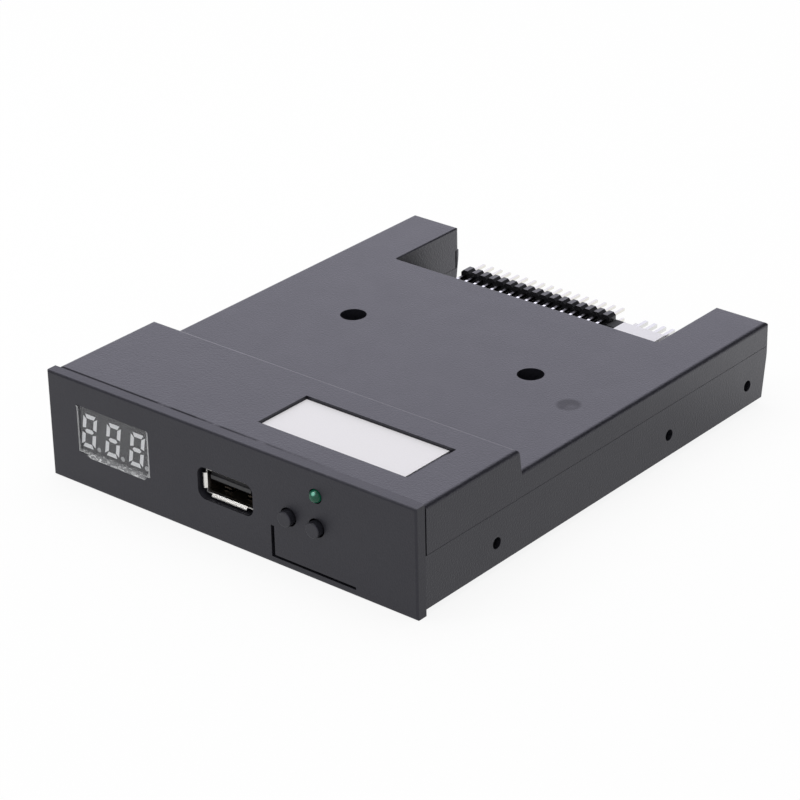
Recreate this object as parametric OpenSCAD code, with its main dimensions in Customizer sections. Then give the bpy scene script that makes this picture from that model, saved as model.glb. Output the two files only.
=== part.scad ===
// Floppy drive emulator for a standard drive bay.
// A two part moulded case with a front bezel, a three digit display, a data
// port, two push buttons and the board that carries the rear connectors.
// Front faces -Y, +X is to the right seen from the front, +Z is up.

/* [Bezel] */
// Width of the bezel
bezel_w = 101.6; // [100:0.1:106]
// Height of the bezel
bezel_h = 25; // [24.6:0.1:28]
// Thickness of the bezel plate
bezel_t = 2.7; // [2.2:0.1:3]
// Radius on the front edges of the bezel
bezel_round = 0.5; // [0.3:0.1:0.8]
// How far the bezel hangs below the case
bezel_drop = 1.5; // [1:0.1:2]
// Depth of the rim behind the plate that plugs into the case
rim_d = 3.8; // [3.5:0.1:5]
// Thickness of that rim
rim_t = 1.5; // [1.2:0.1:1.8]
// Clearance between the rim and the case
rim_gap = 0.15; // [0.1:0.05:0.3]
// Height of the catches on the sides of the rim
catch_h = 0.5; // [0.4:0.05:0.7]
// Width of the catches, along the case
catch_w = 1.6; // [1.2:0.1:2]
// Length of the catches, upwards
catch_l = 6; // [4:0.5:7]
// Width of the lower leg of the L shaped slot at the lower right
slot_w = 0.6; // [0.4:0.1:0.9]
// Width of its upright leg
slot_stem = 0.9; // [0.4:0.1:1.2]
// Depth of that slot
slot_d = 1.4; // [0.8:0.1:1.8]
// Left end of that slot, right of the middle
slot_x = 12.4; // [11:0.1:13.5]
// Height of its lower leg over the bezel's bottom
slot_z = 1.5; // [1.2:0.1:2.5]
// Length of its upright leg
slot_rise = 7.3; // [5:0.1:8]
// Length of its lower leg
slot_run = 22.5; // [15:0.1:30]

/* [Display] */
// Width of the display window
window_w = 21; // [20:0.1:22]
// Height of the display window
window_h = 11.1; // [10.6:0.1:12]
// Distance from the bezel's left edge to the window
window_side = 8.3; // [8:0.05:9.5]
// Middle of the window, over the bezel's bottom
window_z = 13.7; // [12.5:0.1:14]
// Gap between the window and the display in it
display_gap = 0.25; // [0.15:0.05:0.4]
// Depth of the display module
display_d = 6.1; // [5.5:0.1:7]
// How far the display face lies behind the bezel's front
display_recess = 0.55; // [0.45:0.05:1]
// Thickness of the clear film over the display
film_t = 0.2; // [0.1:0.05:0.3]
// Gap between the film and the window
film_gap = 0.1; // [0.05:0.05:0.2]
// Width of the film's turned up edges
film_edge = 0.3; // [0.2:0.05:0.5]
// Height of the film's lower edge, which curls forwards
film_curl = 1.3; // [0.8:0.1:1.8]
// How far that edge bulges down over the bezel at its middle
film_bulge = 0.8; // [0.3:0.1:1.2]
// Overall height of a digit
digit_h = 8.1; // [7:0.1:8.5]
// Overall width of a digit
digit_w = 4.1; // [3.6:0.1:4.6]
// Distance from digit to digit
digit_pitch = 7; // [6.6:0.1:7.4]
// Width of a segment
segment_w = 1; // [0.7:0.05:1.2]
// Gap between segments
segment_gap = 0.25; // [0.15:0.01:0.3]
// Depth of the segments in the display face
segment_d = 0.4; // [0.3:0.1:0.8]
// Slant of the digits in degrees
digit_slant = 9; // [0:0.5:12]
// Diameter of the decimal points
point_d = 1.1; // [0.8:0.1:1.3]
// Distance of a decimal point from the middle of its digit
point_x = 2.6; // [2.4:0.05:2.8]
// Shift of the digits from the middle of the window
digit_shift = -0.5; // [-0.8:0.1:0]
// Thickness of the board behind the display
display_board_t = 1.6; // [1:0.1:2]
// Distance from the window's side to each screw of that board
display_screw_side = 2.25; // [2.1:0.05:2.6]

/* [Port, buttons and light] */
// Width of the port opening in the bezel
port_w = 15.3; // [14.6:0.1:16.5]
// Height of the port opening in the bezel
port_h = 7.4; // [6.8:0.1:8]
// Corner radius of the port opening
port_round = 2; // [1:0.1:2.8]
// Middle of the port, right of the middle of the bezel
port_x = 0; // [-1:0.1:1]
// Height of the middle of the port over the bezel's bottom
port_z = 12.3; // [11.8:0.1:13]
// Width inside the port's metal shell
socket_w = 12.5; // [12.3:0.1:13]
// Height inside the port's metal shell
socket_h = 5.1; // [4.9:0.1:5.4]
// Wall of the port's metal shell
socket_t = 0.3; // [0.25:0.05:0.4]
// Length of the port's metal shell
socket_l = 14; // [13:0.1:16]
// How far the port's shell lies behind the bezel's front
socket_recess = 1; // [0.3:0.1:1.2]
// Depth of the flared lips round the mouth of the port's shell
flare_d = 1; // [0.8:0.1:1.4]
// How far those lips flare out
flare_out = 0.4; // [0.3:0.05:0.5]
// Width of the tongue in the port
tongue_w = 11.1; // [10.6:0.1:11.5]
// Thickness of the tongue in the port
tongue_t = 1.85; // [1.6:0.05:2]
// How far the tongue lies behind the front of the port's shell
tongue_recess = 0.8; // [0.8:0.1:2]
// Width of a contact strip in the port
contact_w = 1; // [0.8:0.1:1.2]
// Diameter of a button
button_d = 3.5; // [3:0.1:3.7]
// Gap all round between a button and its hole
button_gap = 0.35; // [0.3:0.05:0.5]
// Radius on the front edge of a button
button_round = 0.25; // [0.1:0.05:0.5]
// How far a button stands out of the bezel
button_proud = 1.5; // [1:0.1:2.5]
// Travel of a button
button_travel = 0.25; // [0.2:0.05:0.3]
// Middle of the left button, right of the middle of the bezel
button_x = 17.3; // [16.5:0.1:18]
// Distance from button to button
button_pitch = 7.5; // [7.4:0.1:9]
// Height of the buttons over the bezel's bottom
button_z = 12.2; // [11.8:0.1:12.6]
// Width of a switch housing
switch_w = 6.2; // [6:0.1:6.6]
// Depth of a switch housing
switch_d = 4; // [3.8:0.1:4.5]
// Height of a switch housing over the button's middle
switch_rise = 3.1; // [2.9:0.1:3.4]
// Thickness of the sheet steel frame of a switch
frame_t = 0.3; // [0.25:0.05:0.4]
// Distance from the bezel's back to a switch frame
switch_gap = 1.7; // [1.55:0.05:2]
// Diameter of the light
led_d = 3; // [2.8:0.1:3.2]
// Gap all round between the light and its hole
led_gap = 0.15; // [0.1:0.05:0.3]
// Height of the light over the bezel's bottom
led_z = 19.4; // [19:0.1:19.8]
// Length of the light in front of its flange
led_l = 4.9; // [4:0.1:5.2]
// Thickness of the boss behind the light's hole
led_boss_t = 1; // [0.8:0.1:1.5]

/* [Case] */
// How far the bezel stands out past each side of the case
case_inset = 0; // [0:0.1:0.5]
// Depth from the bezel's front to the ends of the rear arms
case_d = 123; // [120:0.5:135]
// Thickness of the side walls
wall = 2; // [1.8:0.1:2.4]
// Thickness of the floor
floor_t = 2; // [1.6:0.1:2.4]
// Thickness of the roof
roof_t = 2; // [1.8:0.1:2.4]
// Height of the raised front block over the case's base
block_h = 23; // [22.6:0.1:23.6]
// Depth of the raised front block
block_d = 29.7; // [26:0.1:32]
// How far the raised block's rear wall runs out towards the deck
block_draft = 0.6; // [0.2:0.1:1]
// Height of the deck over the case's base
deck_h = 17.8; // [17.5:0.1:19]
// Height of the joint between the two shells over the case's base
parting_h = 12; // [11.5:0.1:12.2]
// Open joint between the two shells
seam_gap = 0.1; // [0.1:0.05:0.3]
// Open joint between the bezel and the upper shell
shadow_gap = 0.4; // [0.3:0.1:1]
// Radius along the upper edges of the case
edge_round = 1; // [0.5:0.1:1.2]
// Radius on the upper rear edge of the raised block
block_round = 0.9; // [0.3:0.1:1.2]
// Radius on its upper front edge
front_round = 0.4; // [0.2:0.1:1]
// Radius along the upper edges of the rear notch
notch_round = 0.4; // [0.2:0.1:0.8]
// Radius on the upper shell's upright edges beside the notch
arm_round = 1; // [0.5:0.1:1.4]
// Radius on the other upright edges of the arms
arm_edge = 0.4; // [0.2:0.1:0.8]
// How far the lower shell's arms run in towards the base
arm_draft = 1.9; // [0:0.1:2.2]
// Height of the lip that locates the shells
lip_h = 1.2; // [0.8:0.1:1.6]
// Clearance of the lip
lip_gap = 0.1; // [0.05:0.05:0.2]
// Width of the rear notch between the arms
notch_w = 74.3; // [74:0.1:77]
// Depth of the rear notch
notch_d = 23.3; // [21:0.1:25]
// Width of the label recess
label_w = 40; // [36:0.1:44]
// Depth of the label recess from front to back
label_l = 15.2; // [13:0.1:16]
// Depth of the label recess below the top
label_recess = 0.9; // [0.6:0.1:1]
// Left edge of the label recess, right of the middle
label_x = 0.6; // [0:0.1:3]
// Distance from the bezel's front to the label recess
label_y = 10; // [9:0.1:12]
// Margin between the label and its recess
label_margin = 0.15; // [0.1:0.05:0.4]
// Further margin on the label's right
label_slack = 1.5; // [0:0.1:2]
// Thickness of the label
label_t = 0.15; // [0.1:0.05:0.3]

/* [Fixings] */
// Diameter of the tapped mounting holes in the sides
mount_d = 2.6; // [2.5:0.1:3.2]
// Depth of the mounting holes
mount_depth = 6.5; // [5.5:0.1:6.8]
// Distance from the bezel's front to the first mounting hole
mount_y = 25.2; // [23:0.1:26]
// Distance from the first to the second mounting hole
mount_pitch = 60; // [58:0.1:62]
// Distance from the arms' ends to the third mounting hole
mount_end = 7.8; // [7:0.1:9]
// Height of the mounting holes over the case's base
mount_h = 5; // [4.8:0.1:5.6]
// Width of the blocks that the mounting holes run into
mount_block = 7; // [6:0.1:8]
// Diameter of the screw wells in the deck
well_d = 6; // [5.8:0.1:6.6]
// Depth of the screw wells
well_depth = 6; // [5.5:0.1:6.6]
// Thickness of the seat at the bottom of a well
seat_t = 1.6; // [1.4:0.1:2]
// Distance of each well from the middle
well_x = 25; // [23:0.1:26]
// Distance from the bezel's front to the wells
well_y = 70; // [66:0.1:72]
// Diameter of the posts under the wells
post_d = 7; // [6.6:0.1:7.4]
// Shank diameter of a case screw
case_screw_d = 2.9; // [2.8:0.05:3]
// Shank length of a case screw
case_screw_l = 8; // [7:0.1:8.4]
// Head diameter of a case screw
case_head_d = 5.4; // [5:0.1:5.6]
// Head height of a case screw
case_head_h = 2; // [1.8:0.1:2.4]
// Shank diameter of a board screw
board_screw_d = 2.1; // [2:0.05:2.2]
// Shank length of a board screw
board_screw_l = 4; // [3.5:0.1:4.4]
// Head diameter of a board screw
board_head_d = 4.6; // [4:0.1:5]
// Head height of a board screw
board_head_h = 1.7; // [1.5:0.1:2]
// Clearance round a screw shank in its hole
screw_gap = 0.05; // [0.03:0.01:0.1]

/* [Main board] */
// Width of the main board
board_w = 72; // [70:0.1:73]
// Thickness of the main board
board_t = 1.6; // [1.2:0.1:2]
// Height of the posts that the board rests on
standoff_h = 3.4; // [3.2:0.1:3.8]
// Diameter of those posts
standoff_d = 6; // [5.6:0.1:6.6]
// Distance from the bezel's front to the board's front edge
board_setback = 4; // [3.6:0.1:4.1]
// Distance from the arms' ends to the board's rear edge
board_inset = 6.4; // [6:0.1:7]
// Pitch of the pin rows
pitch = 2.54; // [2.5:0.01:2.6]
// Thickness of a header pin
pin_t = 0.64; // [0.5:0.01:0.7]
// Number of pin columns in the floppy header
header_columns = 17; // [10:1:17]
// Middle of the floppy header, from the middle of the board
header_x = -7.8; // [-9:0.05:-7.5]
// Length of the header pins behind the header
pin_out = 5; // [4:0.1:5.8]
// Length of the pins below the board
pin_tail = 1.5; // [1:0.1:1.8]
// Distance from the header to its first row of legs
leg_gap = 2.6; // [1.2:0.1:3]
// Width of the power connector
power_w = 11.4; // [11:0.1:12]
// Depth of the power connector's block
power_d = 5; // [4.6:0.1:5.4]
// Height of the power connector
power_h = 3.9; // [3.6:0.1:4.2]
// Middle of the power connector, right of the middle
power_x = 22.6; // [22.6:0.1:24]
// Distance from pin to pin in the power connector
power_pitch = 2.5; // [2.4:0.02:2.54]
// Thickness of a power pin
power_pin_t = 0.9; // [0.7:0.05:1]
// Width of the capacitor beside the power connector
input_cap_w = 2.6; // [2.2:0.1:2.7]
// Height of the capacitor beside the power connector
input_cap_h = 3.5; // [2:0.1:4]
// Size of the microcontroller's body
mcu_w = 10; // [8:0.1:12]

/* [Hidden] */
$fn = 48;
// Overlap of a cut past the face that it opens
over = 1;

// Places along Y, from the bezel's front to the arms' ends
front = -(case_d - button_proud)/2;
back = front + case_d;
bezel_back = front + bezel_t;
upper_front = bezel_back + shadow_gap;
block_back = upper_front + block_d;
block_foot = block_back + block_draft;
notch_front = back - notch_d;
well_row = front + well_y;
mount_rows = [front + mount_y, front + mount_y + mount_pitch,
  back - mount_end];

// Heights, from the bezel's bottom
base = bezel_drop;
floor_top = base + floor_t;
parting = base + parting_h;
seam = parting + seam_gap;
deck_top = base + deck_h;
block_top = base + block_h;
mount_z = base + mount_h;
board_bottom = floor_top + standoff_h;
board_top = board_bottom + board_t;
seat_top = deck_top - well_depth;
post_top = seat_top - seat_t;
tail_z = board_bottom - pin_tail;

// Half widths
case_w = bezel_w - 2*case_inset;
half_w = case_w/2;
inner_w = half_w - wall;
notch_half = notch_w/2;

// Board outline
board_front = front + board_setback;
board_back = back - board_inset;
board_half = board_w/2;
// The rear sill of the lower shell carries the board's rear edge
sill_t = 1.5;
sill_inset = 0.6;
sill_back = board_back - sill_inset;
sill_ledge = 6;
sill_dip = 0.4;
sill_low = mount_z - mount_d/2 - sill_dip;
// Air between the upper shell's walls round the notch and the board
curtain_gap = 0.6;
curtain_low = board_top + curtain_gap;
curtain_top = seam + lip_h + over;
// The lower shell closes the arms' ends behind the upper shell's walls
arm_stop = back - wall/2;
arm_gap = 0.5;
// Posts of the board: distance from the board's sides, from the bezel and from the notch
standoff_side = 5;
standoff_x = board_half - standoff_side;
standoff_front = 24;
standoff_rear = 9;
standoff_rows = [front + standoff_front, notch_front - standoff_rear];
// Ribs on the floor
rib_pitch = 12;
rib_t = 1.2;
rib_h = 1.5;
rib_front = board_front + rib_pitch;
// Wall behind a blind mounting hole, and room past a screw's tip
mount_end_wall = 0.6;
tip_room = 0.3;
// Room round the screws and the case's posts in the boards
board_hole_gap = 0.4;
post_gap = 0.75;

// Display parts
display_front = front + display_recess;
display_back = display_front + display_d;
display_w = window_w - 2*display_gap;
display_h = window_h - 2*display_gap;
display_board_back = display_back + display_board_t;
window_x = -bezel_w/2 + window_side + window_w/2;
display_screw_x = window_w/2 + display_screw_side;
display_board_edge = 2.5;
display_board_w = 2*display_screw_x + 2*display_board_edge;
display_board_rise = 1.7;
display_board_h = display_h + 2*display_board_rise;
digit_x = window_x + digit_shift;
digit_drop = 0.2;
digit_z = window_z - digit_drop;
display_post_d = 4;
display_screw_d = 1.8;
display_screw_l = 5;
display_screw_tip = display_board_back - display_screw_l;
display_head_d = 3.2;
display_head_h = 1.2;
driver_size = [10, 4, 1.5];
driver_set = [4, 2];
driver_lead_count = 8;
// Corner of the main board that makes room for the display board
bay_gap = 1;
bay_room = 4.6;
bay_right = window_x + display_board_w/2 + bay_gap;
bay_back = display_board_back + bay_room;
link_pins = 5;
link_shift = 6;
link_set = 0.3;
link_x = window_x + link_shift;
link_z = board_top + pitch/2;
link_front = bay_back + link_set;
link_leg = link_front + pitch + leg_gap;
function link_column(i) = link_x + (i - (link_pins - 1)/2)*pitch;

// Switch parts
switch_front = bezel_back + switch_gap;
housing_front = switch_front + frame_t;
housing_back = housing_front + switch_d;
button_hole_d = button_d + 2*button_gap;
stem_gap = 0.3;
stem_hole_d = button_d + 2*stem_gap;
collar_w = 0.55;
collar_d = button_d + 2*collar_w;
collar_t = 0.8;
collar_gap = 0.05;
collar_front = housing_front + collar_gap;
chamber_d = collar_d + 2*stem_gap;
nub_d = 2;
nub_l = 0.45;
nub_tip = collar_front + collar_t + nub_l;
dome_gap = 0.1;
dome_h = 0.55;
dome_inset = 0.2;
dome_d = chamber_d - 2*dome_inset;
dome_t = 0.12;
chamber_back = nub_tip + button_travel + dome_gap + dome_h;
switch_leg_w = 1;
button_xs = [button_x, button_x + button_pitch];

// Light parts
led_x = button_xs[1];
led_hole_d = led_d + 2*led_gap;
led_boss_wall = 1.3;
led_boss_d = led_hole_d + 2*led_boss_wall;
led_flange_w = 0.4;
led_flange_d = led_d + 2*led_flange_w;
led_flange_t = 1;
led_seat = bezel_back + led_boss_t;
led_back = led_seat + led_flange_t;
lead_t = 0.5;
lead_clear = 1.8;
lead_drop = housing_back + lead_clear;

// Port parts
socket_front = front + socket_recess;
socket_back = socket_front + socket_l;
socket_half = socket_w/2;
socket_low = port_z - socket_h/2;
tongue_front = socket_front + tongue_recess;
tongue_lift = 0.05;
tongue_chamfer = 0.5;
tongue_low = port_z + tongue_lift;
plug_block_d = 4;
contact_t = 0.2;
contact_pitch = 2.3;
contact_set = 0.8;
contact_out = 0.4;
contact_bend = socket_back + contact_out;
port_leg_w = 2.4;
port_leg_set = 10;
port_leg_y = socket_front + port_leg_set;
// Spring windows in the port's shell
spring_x = 3.2;
spring_w = 2.4;
spring_l = 3.5;
spring_set = 3;
spring_dip = 0.6;
spring_slit = 0.25;
spring_tip = 0.4;
// Corner gaps between the flared lips
flare_side = 1.4;
flare_rise = 0.8;

// Header parts
header_h = 2*pitch;
header_front = board_back - pitch;
header_rows = [board_top + pitch/2, board_top + 3*pitch/2];
header_legs = [header_front - leg_gap, header_front - leg_gap - pitch];
header_chamfer = 0.65;
pin_tip = board_back + pin_out;
pin_hole_d = 1.05;
header_left = header_x - (header_columns - 1)*pitch/2;
header_right = header_left + header_columns*pitch - pitch/2;

// Power connector parts
power_inset = 1.1;
power_back = board_back - power_inset;
power_front = power_back - power_d;
power_pin_rise = 2.1;
power_pin_z = board_top + power_pin_rise;
power_leg_gap = 1.2;
power_leg = power_front - power_leg_gap;
power_hole_d = power_pin_t*1.5;
power_shelf_t = 1;
power_shelf_l = 4.5;
power_cheek = 0.8;

// Smaller parts on the board, placed from its front edge or from the notch
input_cap_x = (header_right + power_x - power_w/2)/2;
input_cap_inset = 0.3;
input_cap_back = board_back - input_cap_inset;
input_cap_l = 3.8;
chip_stand = 0.1;
chip_lead_t = 0.15;
chip_lead_z = 0.6;
chip_lead_knee = 0.3;
chip_lead_foot = 0.5;
chip_lead_out = 1;
mcu_h = 1.4;
mcu_x = -8;
mcu_set = 58.5;
mcu_leads = 16;
mcu_lead_pitch = 0.5;
mcu_lead_w = 0.22;
crystal_size = [11.4, 4.6, 3.5];
crystal_x = 8;
crystal_set = 61.5;
regulator_size = [6.5, 3.5, 1.6];
regulator_x = 10;
regulator_set = 12.5;
regulator_tab = [3, 1.8, 0.3];
regulator_lead = [0.7, 1.8, 0.3];
regulator_pitch = 2.3;
line_size = [8.7, 3.9, 1.5];
line_x = -8;
line_set = 6.5;
line_leads = 7;
line_lead_w = 0.42;
can_d = 6.3;
can_h = 5.4;
can_base_h = 0.8;
can_trim = 0.1;
can_xs = [16, 29];
can_rear = 5.5;
can_front = 42.5;
can_places = [[can_xs[0], notch_front - can_rear], [can_xs[1], board_front + can_front]];

// Two dimensional shape that rounds a convex corner when it is cut away.
// The corner is at p and the shape lies towards the signs in dir.
module corner_cut(p, dir, r) {
  reach = r + over;
  difference() {
    translate([p[0] + dir[0]*(r - over)/2, p[1] + dir[1]*(r - over)/2])
      square(reach, center = true);
    translate([p[0] + dir[0]*r, p[1] + dir[1]*r]) circle(r);
  }
}

// Extrudes a shape drawn in X and Z from y0 to y1
module along_y(y0, y1) {
  translate([0, y1, 0]) rotate([90, 0, 0]) linear_extrude(y1 - y0) children();
}

// Extrudes a shape drawn in Y and Z from x0 to x1
module along_x(x0, x1) {
  translate([x0, 0, 0]) rotate([90, 0, 90]) linear_extrude(x1 - x0) children();
}

// Round bar along Y
module rod_y(x, z, y0, y1, d) {
  translate([x, y1, z]) rotate([90, 0, 0]) cylinder(d = d, h = y1 - y0);
}

// Block given by two corners
module block(p, q) {
  translate(p) cube([q[0] - p[0], q[1] - p[1], q[2] - p[2]]);
}

// Square wire bent once: from y_tip level at height z, then down to z_low.
// The bend's outer corner is cut at 45 degrees.
module bent_pin(x, t, y_tip, y_leg, z, z_low) {
  h = t/2;
  out = y_tip > y_leg ? 1 : -1;
  along_x(x - h, x + h)
    polygon([[y_tip, z + h], [y_leg, z + h], [y_leg - out*h, z],
      [y_leg - out*h, z_low], [y_leg + out*h, z_low],
      [y_leg + out*h, z - h], [y_tip, z - h]]);
}

// Plan of the case: a rectangle with the rear notch, drawn in by inset.
// Its front edge is not drawn in.
module case_plan(inset, y_front, y_back, y_notch) {
  side = half_w - inset;
  inner = notch_half + inset;
  rear = y_back - inset;
  polygon([[-side, y_front], [side, y_front], [side, rear], [inner, rear],
    [inner, y_notch - inset], [-inner, y_notch - inset], [-inner, rear],
    [-side, rear]]);
}

// The corners of the arms in plan, to be cut away
module arm_corners(inner_round) {
  for (s = [-1, 1]) {
    corner_cut([s*half_w, back], [-s, -1], arm_edge);
    corner_cut([s*notch_half, back], [s, -1], inner_round);
  }
}

// Plan of the walls beside the notch, up to y_end
module notch_walls(spare, y_end) {
  for (s = [-1, 1])
    translate([s*(notch_half + wall/2), (notch_front - wall + y_end)/2])
      square([wall + 2*spare, y_end - notch_front + wall + 2*spare], center = true);
}

// Plan of the open bay between the lower shell's arms
module board_bay(y_back) {
  translate([-notch_half, notch_front - wall - over])
    square([notch_w, y_back - notch_front + wall + over]);
}

module upper_shell() color("#2a2a2e") difference() {
  union() {
    difference() {
      union() {
        translate([0, 0, seam]) linear_extrude(deck_top - seam)
          difference() {
            case_plan(0, upper_front, back, notch_front);
            arm_corners(arm_round);
          }
        along_x(-half_w, half_w)
          polygon([[upper_front, seam], [block_foot, seam], [block_foot, deck_top],
            [block_back, block_top - block_round], [block_back, block_top], [upper_front, block_top]]);
      }
      // inside of the deck and arms, then of the raised block
      translate([0, 0, parting - over])
        linear_extrude(deck_top - roof_t - parting + over)
          case_plan(wall, upper_front - over, back, notch_front);
      block([-inner_w, upper_front - over, parting - over],
        [inner_w, block_back - wall, block_top - roof_t]);
      // seat for the lower shell's lip
      translate([0, 0, parting - over]) linear_extrude(lip_h + lip_gap + over)
        difference() {
          case_plan(wall/2, upper_front - over, back, notch_front);
          board_bay(back);
        }
      // rounded upper edges
      for (s = [-1, 1]) {
        along_y(upper_front - over, block_foot)
          corner_cut([s*half_w, block_top], [-s, -1], edge_round);
        along_y(block_foot, back + over)
          corner_cut([s*half_w, deck_top], [-s, -1], edge_round);
        along_y(notch_front, back + over)
          corner_cut([s*notch_half, deck_top], [s, -1], notch_round);
      }
      along_x(-half_w - over, half_w + over) {
        corner_cut([block_back, block_top], [-1, -1], block_round);
        corner_cut([upper_front, block_top], [1, -1], front_round);
      }
      along_x(-notch_half, notch_half) corner_cut([notch_front, deck_top], [-1, -1], notch_round);
      along_x(-half_w - over, half_w + over)
        corner_cut([back, deck_top], [-1, -1], edge_round);
    }
    // walls that close the notch down to the board: a curtain and the inner walls of the arms
    block([-notch_half - wall/2, notch_front - wall, curtain_low],
      [notch_half + wall/2, notch_front, curtain_top]);
    translate([0, 0, curtain_low]) linear_extrude(curtain_top - curtain_low)
      notch_walls(0, arm_stop - arm_gap);
    // screw wells
    for (s = [-1, 1])
      translate([s*well_x, well_row, post_top])
        cylinder(d = well_d + 2*seat_t, h = deck_top - roof_t/2 - post_top);
  }
  for (s = [-1, 1]) translate([s*well_x, well_row, 0]) {
    translate([0, 0, seat_top]) cylinder(d = well_d, h = well_depth + over);
    cylinder(d = case_screw_d + 4*screw_gap, h = seat_top + over);
  }
  // label recess
  block([label_x, front + label_y, block_top - label_recess],
    [label_x + label_w, front + label_y + label_l, block_top + over]);
}

// Side outline of the lower shell, drawn in at the arms' ends
module lower_side()
  polygon([[front, base], [back - arm_draft, base], [back, parting],
    [back, block_top], [front, block_top]]);

module lower_shell() color("#2a2a2e") difference() {
  union() {
    intersection() {
      difference() {
        union() {
          translate([0, 0, base]) linear_extrude(parting_h) difference() {
            case_plan(0, bezel_back, back, sill_back);
            arm_corners(arm_edge);
          }
          translate([0, 0, parting - over]) linear_extrude(lip_h + over)
            case_plan(wall/2 + lip_gap, upper_front, back, notch_front);
        }
        translate([0, 0, floor_top]) linear_extrude(block_h)
          case_plan(wall, bezel_back - over, back, notch_front);
        translate([0, 0, floor_top]) linear_extrude(block_h)
          board_bay(sill_back - sill_t);
        translate([0, 0, board_bottom]) linear_extrude(block_h) board_bay(back);
        // room for the upper shell's walls round the notch
        translate([0, 0, curtain_low - seam_gap]) linear_extrude(block_h)
          notch_walls(lip_gap, arm_stop - lip_gap);
        // the sill dips below the pin tails, and a ledge at each end carries the board
        block([sill_ledge - board_half, sill_back - sill_t - over, sill_low],
          [board_half - sill_ledge, sill_back + over, board_bottom + over]);
      }
      along_x(-half_w - over, half_w + over) lower_side();
    }
    // blocks for the mounting holes
    for (s = [-1, 1], y = mount_rows)
      block([s > 0 ? half_w - mount_depth - mount_end_wall : -inner_w - over/2,
          y - mount_block/2, floor_top - over],
        [s > 0 ? inner_w + over/2 : -half_w + mount_depth + mount_end_wall,
          y + mount_block/2, mount_z + mount_block/2]);
    // posts for the case screws and the board
    for (s = [-1, 1]) {
      translate([s*well_x, well_row, floor_top - over])
        cylinder(d = post_d, h = post_top - floor_top + over);
      for (y = standoff_rows)
        translate([s*standoff_x, y, floor_top - over])
          cylinder(d = standoff_d, h = standoff_h + over);
    }
    // stiffening ribs on the floor
    for (i = [-1, 0, 1])
      block([i*rib_pitch - rib_t/2, rib_front, floor_top - over],
        [i*rib_pitch + rib_t/2, notch_front, floor_top + rib_h]);
  }
  for (s = [-1, 1], y = mount_rows)
    translate([s*half_w, y, mount_z]) rotate([0, -s*90, 0]) {
      cylinder(d = mount_d, h = mount_depth);
      translate([0, 0, -over]) cylinder(d = mount_d, h = over);
    }
  for (s = [-1, 1]) {
    translate([s*well_x, well_row, seat_top - case_screw_l - tip_room])
      cylinder(d = case_screw_d + 2*screw_gap, h = case_screw_l + over);
    for (y = standoff_rows)
      translate([s*standoff_x, y, board_top - board_screw_l - tip_room])
        cylinder(d = board_screw_d + 2*screw_gap, h = board_screw_l + over);
    // pockets for the bezel's catches
    block([s > 0 ? inner_w - over : -inner_w - catch_h, bezel_back + rim_d/2 - catch_w/2 - rim_gap,
        mount_z - catch_l/2 - rim_gap],
      [s > 0 ? inner_w + catch_h : -inner_w + over, bezel_back + rim_d/2 + catch_w/2 + rim_gap,
        mount_z + catch_l/2 + rim_gap]);
  }
}

module bezel_plate() difference() {
  block([-bezel_w/2, front, 0], [bezel_w/2, bezel_back, bezel_h]);
  for (s = [-1, 1])
    translate([0, 0, -over]) linear_extrude(bezel_h + 2*over)
      corner_cut([s*bezel_w/2, front], [-s, 1], bezel_round);
  for (z = [[0, 1], [bezel_h, -1]])
    along_x(-bezel_w/2 - over, bezel_w/2 + over)
      corner_cut([front, z[0]], [1, z[1]], bezel_round);
}

module front_bezel() color("#303033") difference() {
  rim_half = inner_w - rim_gap;
  rim_low = floor_top + rim_gap;
  rim_high = block_top - roof_t - rim_gap;
  union() {
    bezel_plate();
    difference() {
      block([-rim_half, bezel_back - over, rim_low], [rim_half, bezel_back + rim_d, rim_high]);
      block([-rim_half + rim_t, bezel_back - 2*over, rim_low + rim_t],
        [rim_half - rim_t, bezel_back + rim_d + over, rim_high - rim_t]);
    }
    // catches
    for (s = [-1, 1])
      translate([s*rim_half, bezel_back + rim_d/2, mount_z])
        cube([2*catch_h, catch_w, catch_l], center = true);
    // boss of the light, level with the rim at its top
    intersection() {
      rod_y(led_x, led_z, bezel_back - over, led_seat, led_boss_d);
      block([-rim_half, bezel_back - over, rim_low], [rim_half, led_seat, rim_high]);
    }
    for (s = [-1, 1])
      rod_y(window_x + s*display_screw_x, window_z, bezel_back - over, display_back, display_post_d);
  }
  along_y(front - over, display_back + over)
    translate([window_x - window_w/2, window_z - window_h/2]) square([window_w, window_h]);
  along_y(front - over, bezel_back + over) difference() {
    translate([port_x - port_w/2, port_z - port_h/2]) square([port_w, port_h]);
    for (sx = [-1, 1], sz = [-1, 1])
      corner_cut([port_x + sx*port_w/2, port_z + sz*port_h/2], [-sx, -sz], port_round);
  }
  for (x = button_xs) rod_y(x, button_z, front - over, bezel_back + over, button_hole_d);
  rod_y(led_x, led_z, front - over, led_seat + over, led_hole_d);
  rod_y(led_x, led_z, led_seat, bezel_back + rim_d + over, led_flange_d + 2*led_gap);
  for (s = [-1, 1])
    rod_y(window_x + s*display_screw_x, window_z, display_screw_tip - tip_room,
      display_back + over, display_screw_d + 2*screw_gap);
  // L shaped slot
  along_y(front - over, front + slot_d) {
    translate([slot_x, slot_z]) square([slot_stem, slot_rise]);
    translate([slot_x, slot_z]) square([slot_run, slot_w]);
  }
}

module label() color("#e9e9ea")
  block([label_x + label_margin, front + label_y + label_margin, block_top - label_recess],
    [label_x + label_w - label_margin - label_slack, front + label_y + label_l - label_margin,
      block_top - label_recess + label_t]);

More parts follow.
